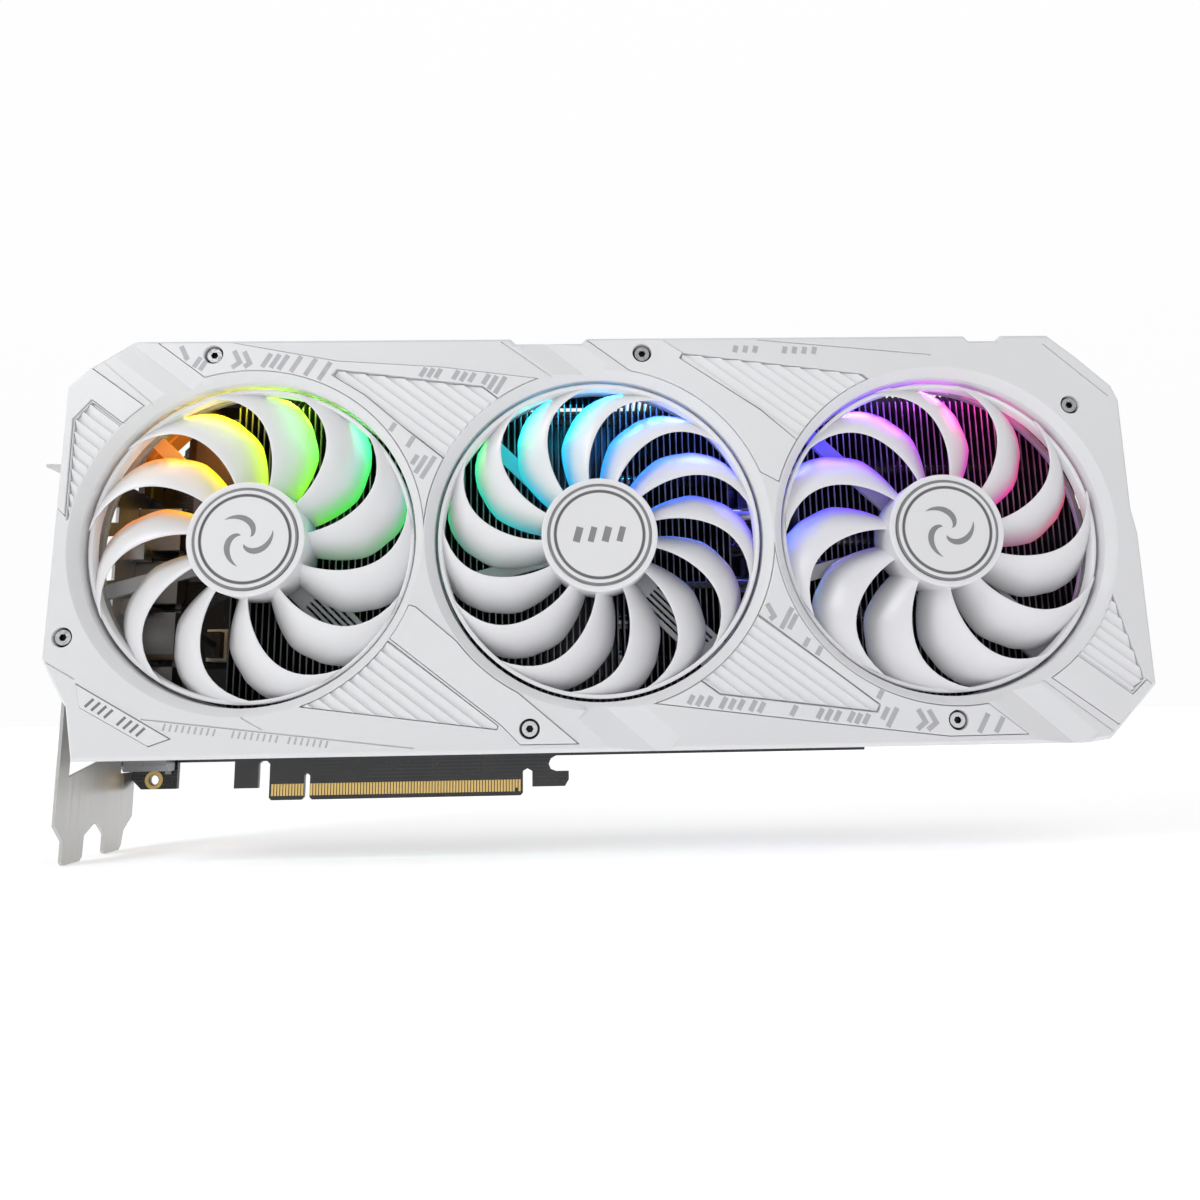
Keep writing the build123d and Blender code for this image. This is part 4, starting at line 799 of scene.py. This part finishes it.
def inner_lights():
    """The strip's coloured light, as small lamps above and behind the fans' upper halves."""
    for k in range(STRIP_LAMPS):
        x = STRIP_START + STRIP_PITCH * k
        power = STRIP_DIM if x < STRIP_DIM_TO else STRIP_POWER
        lamp = area_light(f"strip_{k}", (x * MM, *STRIP_YZ), (x * MM, *STRIP_AIM_YZ),
                          STRIP_SIZE, power, rainbow_at(x))
        lamp.visible_camera = False


# ---- printed marks and small parts --------------------------------------------------------------
def mitres(points, sharpest):
    """Each point of a bent line with the direction to its left, longer at a bend."""
    made = []
    last = len(points) - 1
    for k, point in enumerate(points):
        here = Vector(point)
        into = (here - Vector(points[k - 1])).normalized() if k else None
        out = (Vector(points[k + 1]) - here).normalized() if k < last else None
        run = into if out is None else out if into is None else (into + out).normalized()
        side = Vector((-run.y, run.x))
        along = into if out is None else out
        made.append((here, side / max(sharpest, abs(side.dot(Vector((-along.y, along.x)))))))
    return made


def stroke(points, width):
    """Outline of a bent bar of one width, its corners mitred."""
    bends = mitres(points, 0.35)
    left = [here + side * width / 2 for here, side in bends]
    right = [here - side * width / 2 for here, side in bends]
    return [tuple(v) for v in left + right[::-1]]


FLAT_WITHIN = 0.03 * MM     # how far from a plate's face a spot may be and still count as on it
PRINT_MARGIN = 0.35         # bare border round a printed stroke, mm


class Face:
    """The front face of a plate, which printed marks are laid on."""

    def __init__(self, node):
        mesh = NODES[node].data
        self.tree = BVHTree.FromPolygons([v.co for v in mesh.vertices],
                                         [tuple(p.vertices) for p in mesh.polygons])

    def depth(self, x, z):
        """Y of the face at a place, in m, or None where it has a hole."""
        hit = self.tree.ray_cast(Vector((x * MM, -0.1, z * MM)), Vector((0, 1, 0)))
        return None if hit[0] is None else hit[0].y

    def level(self, spots, y):
        found = [self.depth(*spot) for spot in spots]
        return all(d is not None and abs(d - y) < FLAT_WITHIN for d in found)

    def holds(self, outline, y):
        """True if every corner and the middle of the outline lie on the face at depth y."""
        middle = sum((Vector(p) for p in outline), Vector((0, 0))) / len(outline)
        return self.level([middle, *outline], y)

    def clipped(self, points, width, y, step=0.4):
        """The runs of a bent line, in mm, whose bar of one width stays on the face."""
        runs, run = [], []
        for start, end in zip(points, points[1:]):
            a, b = Vector(start), Vector(end)
            side = Vector((a.y - b.y, b.x - a.x)).normalized() * (width / 2 + PRINT_MARGIN)
            count = max(2, int((b - a).length / step))
            for k in range(count + 1):
                spot = a.lerp(b, k / count)
                if self.level((spot, spot + side, spot - side), y):
                    run.append((tuple(spot), k in (0, count)))
                elif run:
                    runs.append(run)
                    run = []
        runs.append(run)
        kept = []
        for run in runs:
            line = [spot for k, (spot, corner) in enumerate(run)
                    if corner or k in (0, len(run) - 1)]
            line = [spot for k, spot in enumerate(line)
                    if k == 0 or (Vector(spot) - Vector(line[k - 1])).length > 0.05]
            if len(line) > 1 and len(run) * step > 2 * width:
                kept.append(line)
        return kept


INK_T = 0.02 * MM           # a mark stands this far out of the face, and goes as far in
STROKE_W = 1.45


def add_mark(bm, outline, y):
    """A thin closed slab of ink from its outline in mm, on a face at depth y in m."""
    front = [bm.verts.new((x * MM, y - INK_T, z * MM)) for x, z in outline]
    back = [bm.verts.new((x * MM, y + INK_T, z * MM)) for x, z in outline]
    bm.faces.new(front)
    bm.faces.new(back[::-1])
    count = len(outline)
    for k in range(count):
        bm.faces.new((front[k], back[k], back[(k + 1) % count], front[(k + 1) % count]))


# strokes of the panels' print, in a unit cell
MOTIFS = [
    [[(0.05, 0.0), (0.27, 1.0)], [(0.39, 0.0), (0.61, 1.0)], [(0.73, 0.0), (0.95, 1.0)]],
    [[(0.0, 0.0), (0.22, 1.0)], [(0.34, 0.0), (0.45, 0.5)], [(0.62, 0.0), (0.84, 1.0)]],
    [[(0.05, 0.0), (0.45, 0.5), (0.05, 1.0)], [(0.45, 0.0), (0.85, 0.5), (0.45, 1.0)]],
    [[(0.05, 0.5), (0.16, 1.0)], [(0.28, 0.0), (0.5, 1.0)], [(0.62, 0.0), (0.73, 0.5)]],
    [[(0.0, 0.0), (0.22, 1.0)], [(0.3, 0.0), (0.52, 1.0)], [(0.6, 0.0), (0.82, 1.0)]],
]


def panel_print(plate, corner, columns, rows, cell, turn_deg, seed):
    """Rows of angular strokes on a trim plate, kept where they fit on its face."""
    rng = random.Random(seed)
    face = Face(plate)
    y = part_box(plate)[0].y
    bm = bmesh.new()
    cos, sin = math.cos(math.radians(turn_deg)), math.sin(math.radians(turn_deg))
    for row in range(rows):
        for column in range(columns):
            motif = rng.choice(MOTIFS)
            for line in motif:
                points = []
                for u, v in line:
                    a = (column + 0.1 + 0.8 * u + 0.18 * v) * cell[0]
                    b = (row + 0.12 + 0.76 * v) * cell[1]
                    points.append((corner[0] + a * cos - b * sin, corner[1] + a * sin + b * cos))
                for part in face.clipped(points, STROKE_W, y):
                    add_mark(bm, stroke(part, STROKE_W), y)
    return bm


def bar_row(plate, start, end, height, pitch, width, lean, gaps=()):
    """A row of leaning bars from start to end on a plate's front."""
    face = Face(plate)
    run = Vector(end) - Vector(start)
    along = run.normalized()
    up = Vector((-along.y, along.x))
    bm = bmesh.new()
    for k in range(int(run.length / pitch)):
        if k in gaps:
            continue
        foot = Vector(start) + along * (k + 0.5) * pitch
        head = foot + up * height + along * lean
        outline = stroke([tuple(foot), tuple(head)], width)
        y = face.depth(foot.x, foot.y)
        if y is not None and face.holds(outline, y):
            add_mark(bm, outline, y)
    return bm


def ink(name, colour):
    """Pad-printed ink, slightly uneven."""
    paint = Paint(name, colour, 0.5)
    paint.vary_colour(300.0, 0.06).vary_rough(500.0, 0.06)
    return paint.material


def make_print():
    light = ink("ink_light", (0.47, 0.475, 0.495))
    dark = ink("ink_dark", (0.20, 0.20, 0.21))
    bm = panel_print("trim_top_left", (-38.0, 66.0), 15, 9, (9.4, 9.2), -5.5, 11)
    finish_mesh(bm, "print_top_left", light, "card")
    bm = panel_print("trim_lower_right", (100.0, 16.0), 16, 6, (9.4, 9.2), -4.5, 23)
    finish_mesh(bm, "print_lower_right", light, "card")
    bm = bar_row("trim_name_plate", (-46.2, 31.6), (-28.0, 21.3), 3.0, 2.1, 0.8, 0.9, (4,))
    finish_mesh(bm, "print_name_plate", dark, "card")
    bm = bar_row("shroud", (-24.5, 24.2), (24.0, 18.3), 2.0, 1.75, 0.55, 0.3, (9, 10, 19))
    finish_mesh(bm, "print_lower_edge", light, "card")
    bm = bar_row("shroud", (139.5, 134.6), (168.0, 133.8), 2.2, 3.0, 1.5, 0.5, (3, 4))
    finish_mesh(bm, "print_upper_edge", light, "card")


# cap marks, mm: the middle cap's leaning bars, and the outer caps' curved arms
BAR_PITCH, BAR_HALF_H, BAR_LEAN, BAR_W = 4.2, 2.2, 0.6, (2.1, 1.8)
ARM_STEPS, ARM_TURN, ARM_START = 12, 118.0, 20.0
ARM_R, ARM_REACH, ARM_W = 2.0, 6.4, 2.1


def bar_group():
    """Outlines of four leaning bars in a row about the cap's middle."""
    outlines = []
    for k in range(4):
        x = BAR_PITCH * (k - 1.5)
        ends = [(x - BAR_LEAN, -BAR_HALF_H), (x + BAR_LEAN, BAR_HALF_H)]
        outlines.append(stroke(ends, BAR_W[k % 2]))
    return outlines


def swirl():
    """Outlines of three curved arms, each swelling and thinning as it winds outward."""
    outlines = []
    for arm in range(3):
        inner, outer = [], []
        for j in range(ARM_STEPS + 1):
            t = j / ARM_STEPS
            angle = math.radians(120.0 * arm + ARM_START + ARM_TURN * t)
            radius = ARM_R + ARM_REACH * t
            half = ARM_W * math.sin(math.pi * min(1.0, 0.12 + 0.88 * t)) ** 0.8 / 2
            for side, distance in ((inner, radius - half), (outer, radius + half)):
                side.append((distance * math.cos(angle), distance * math.sin(angle)))
        outlines.append(inner + outer[::-1])
    return outlines


def make_cap_marks():
    """A plain three-armed swirl on the outer caps, and leaning bars on the middle one."""
    paint = ink("cap_ink", (0.26, 0.26, 0.27))
    for side, hub in HUBS.items():
        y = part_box(f"fan_{side}_cap")[0].y
        bm = bmesh.new()
        for outline in bar_group() if side == "centre" else swirl():
            add_mark(bm, [(hub.x / MM + a, hub.z / MM + b) for a, b in outline], y)
        finish_mesh(bm, f"cap_mark_{side}", paint, f"fan_{side}")


# the face screws' places on the shroud, mm
SCREW_PLACES = [(-15.5, 135.0), (-53.5, 50.7), (112.8, 134.5), (78.3, 22.8), (242.4, 117.0),
                (200.2, 23.1)]


# the strip carrier's run inside the skirt: place, height and how far back it reaches there, mm
CARRIER_RUN = [(-55.2, 103.0, -1.3), (-55.2, 118.2, -1.3), (-43.3, 130.1, -1.3),
               (-37.4, 137.0, -1.3), (-35.0, 137.0, 3.6), (-5.0, 137.0, 3.6),
               (-2.0, 137.0, -4.0), (110.0, 137.0, -4.0)]
CARRIER_FRONT_Y = -14.3
CARRIER_RIB_Y = -9.0
CARRIER_T = 1.2
CARRIER_FLANGE = 2.0
RIB_H = 0.5


def make_carrier():
    """The light strip's inner carrier: an angle moulding round the card's upper front corner."""
    bm = bmesh.new()
    rows = []
    bends = mitres([place[:2] for place in CARRIER_RUN], 0.6)
    for (here, outward), (_, _, rear) in zip(bends, CARRIER_RUN):
        # section: a wall with a flange turned inward at its front edge, and one low rib
        front, rib, wall = CARRIER_FRONT_Y, CARRIER_RIB_Y, CARRIER_T
        section = [(0, front), (CARRIER_FLANGE, front), (CARRIER_FLANGE, front + wall),
                   (wall, front + wall), (wall, rib), (wall + RIB_H, rib + RIB_H),
                   (wall + RIB_H, rib + 1.3), (wall, rib + 1.8), (wall, rear), (0, rear)]
        row = []
        for depth, y in section:
            spot = here - outward * depth
            row.append(bm.verts.new((spot.x * MM, y * MM, spot.y * MM)))
        rows.append(row)
    size = len(rows[0])
    for first, second in zip(rows, rows[1:]):
        for k in range(size):
            bm.faces.new((first[k], first[(k + 1) % size], second[(k + 1) % size], second[k]))
    bm.faces.new(rows[0])
    bm.faces.new(rows[-1][::-1])
    finish_mesh(bm, "strip_carrier", carrier_paint(), "card")


# painted shade: a dark ring in each screw seat, radius and Y in mm
SEAT_SHADE_R = (2.24, 2.84)
SEAT_SHADE_Y = (-47.98, -47.66)


def make_seat_shade():
    """Black rings in the counterbores of the face screws, standing in for the shade in the seats."""
    paint = moulded("seat_shade_black", (0.02, 0.02, 0.022), 0.7)
    bm = bmesh.new()
    (inner, outer), (front, back) = SEAT_SHADE_R, SEAT_SHADE_Y
    corners = [(inner, front), (outer, front), (outer, back), (inner, back)]
    ring = rounded_profile(corners, 0.12)
    for x, z in SCREW_PLACES:
        add_lathe(bm, Vector((x * MM, 0, z * MM)), ring, 48)
    finish_mesh(bm, "screw_seat_shade", paint.material, "card")


def main():
    bpy.context.scene.view_settings.view_transform = "Standard"
    make_camera()
    make_world()
    make_lights()
    make_floor()
    finish_nodes(materials())
    round_edges()
    make_fans()
    make_print()
    make_cap_marks()
    make_seat_shade()
    make_carrier()
    inner_lights()


main()
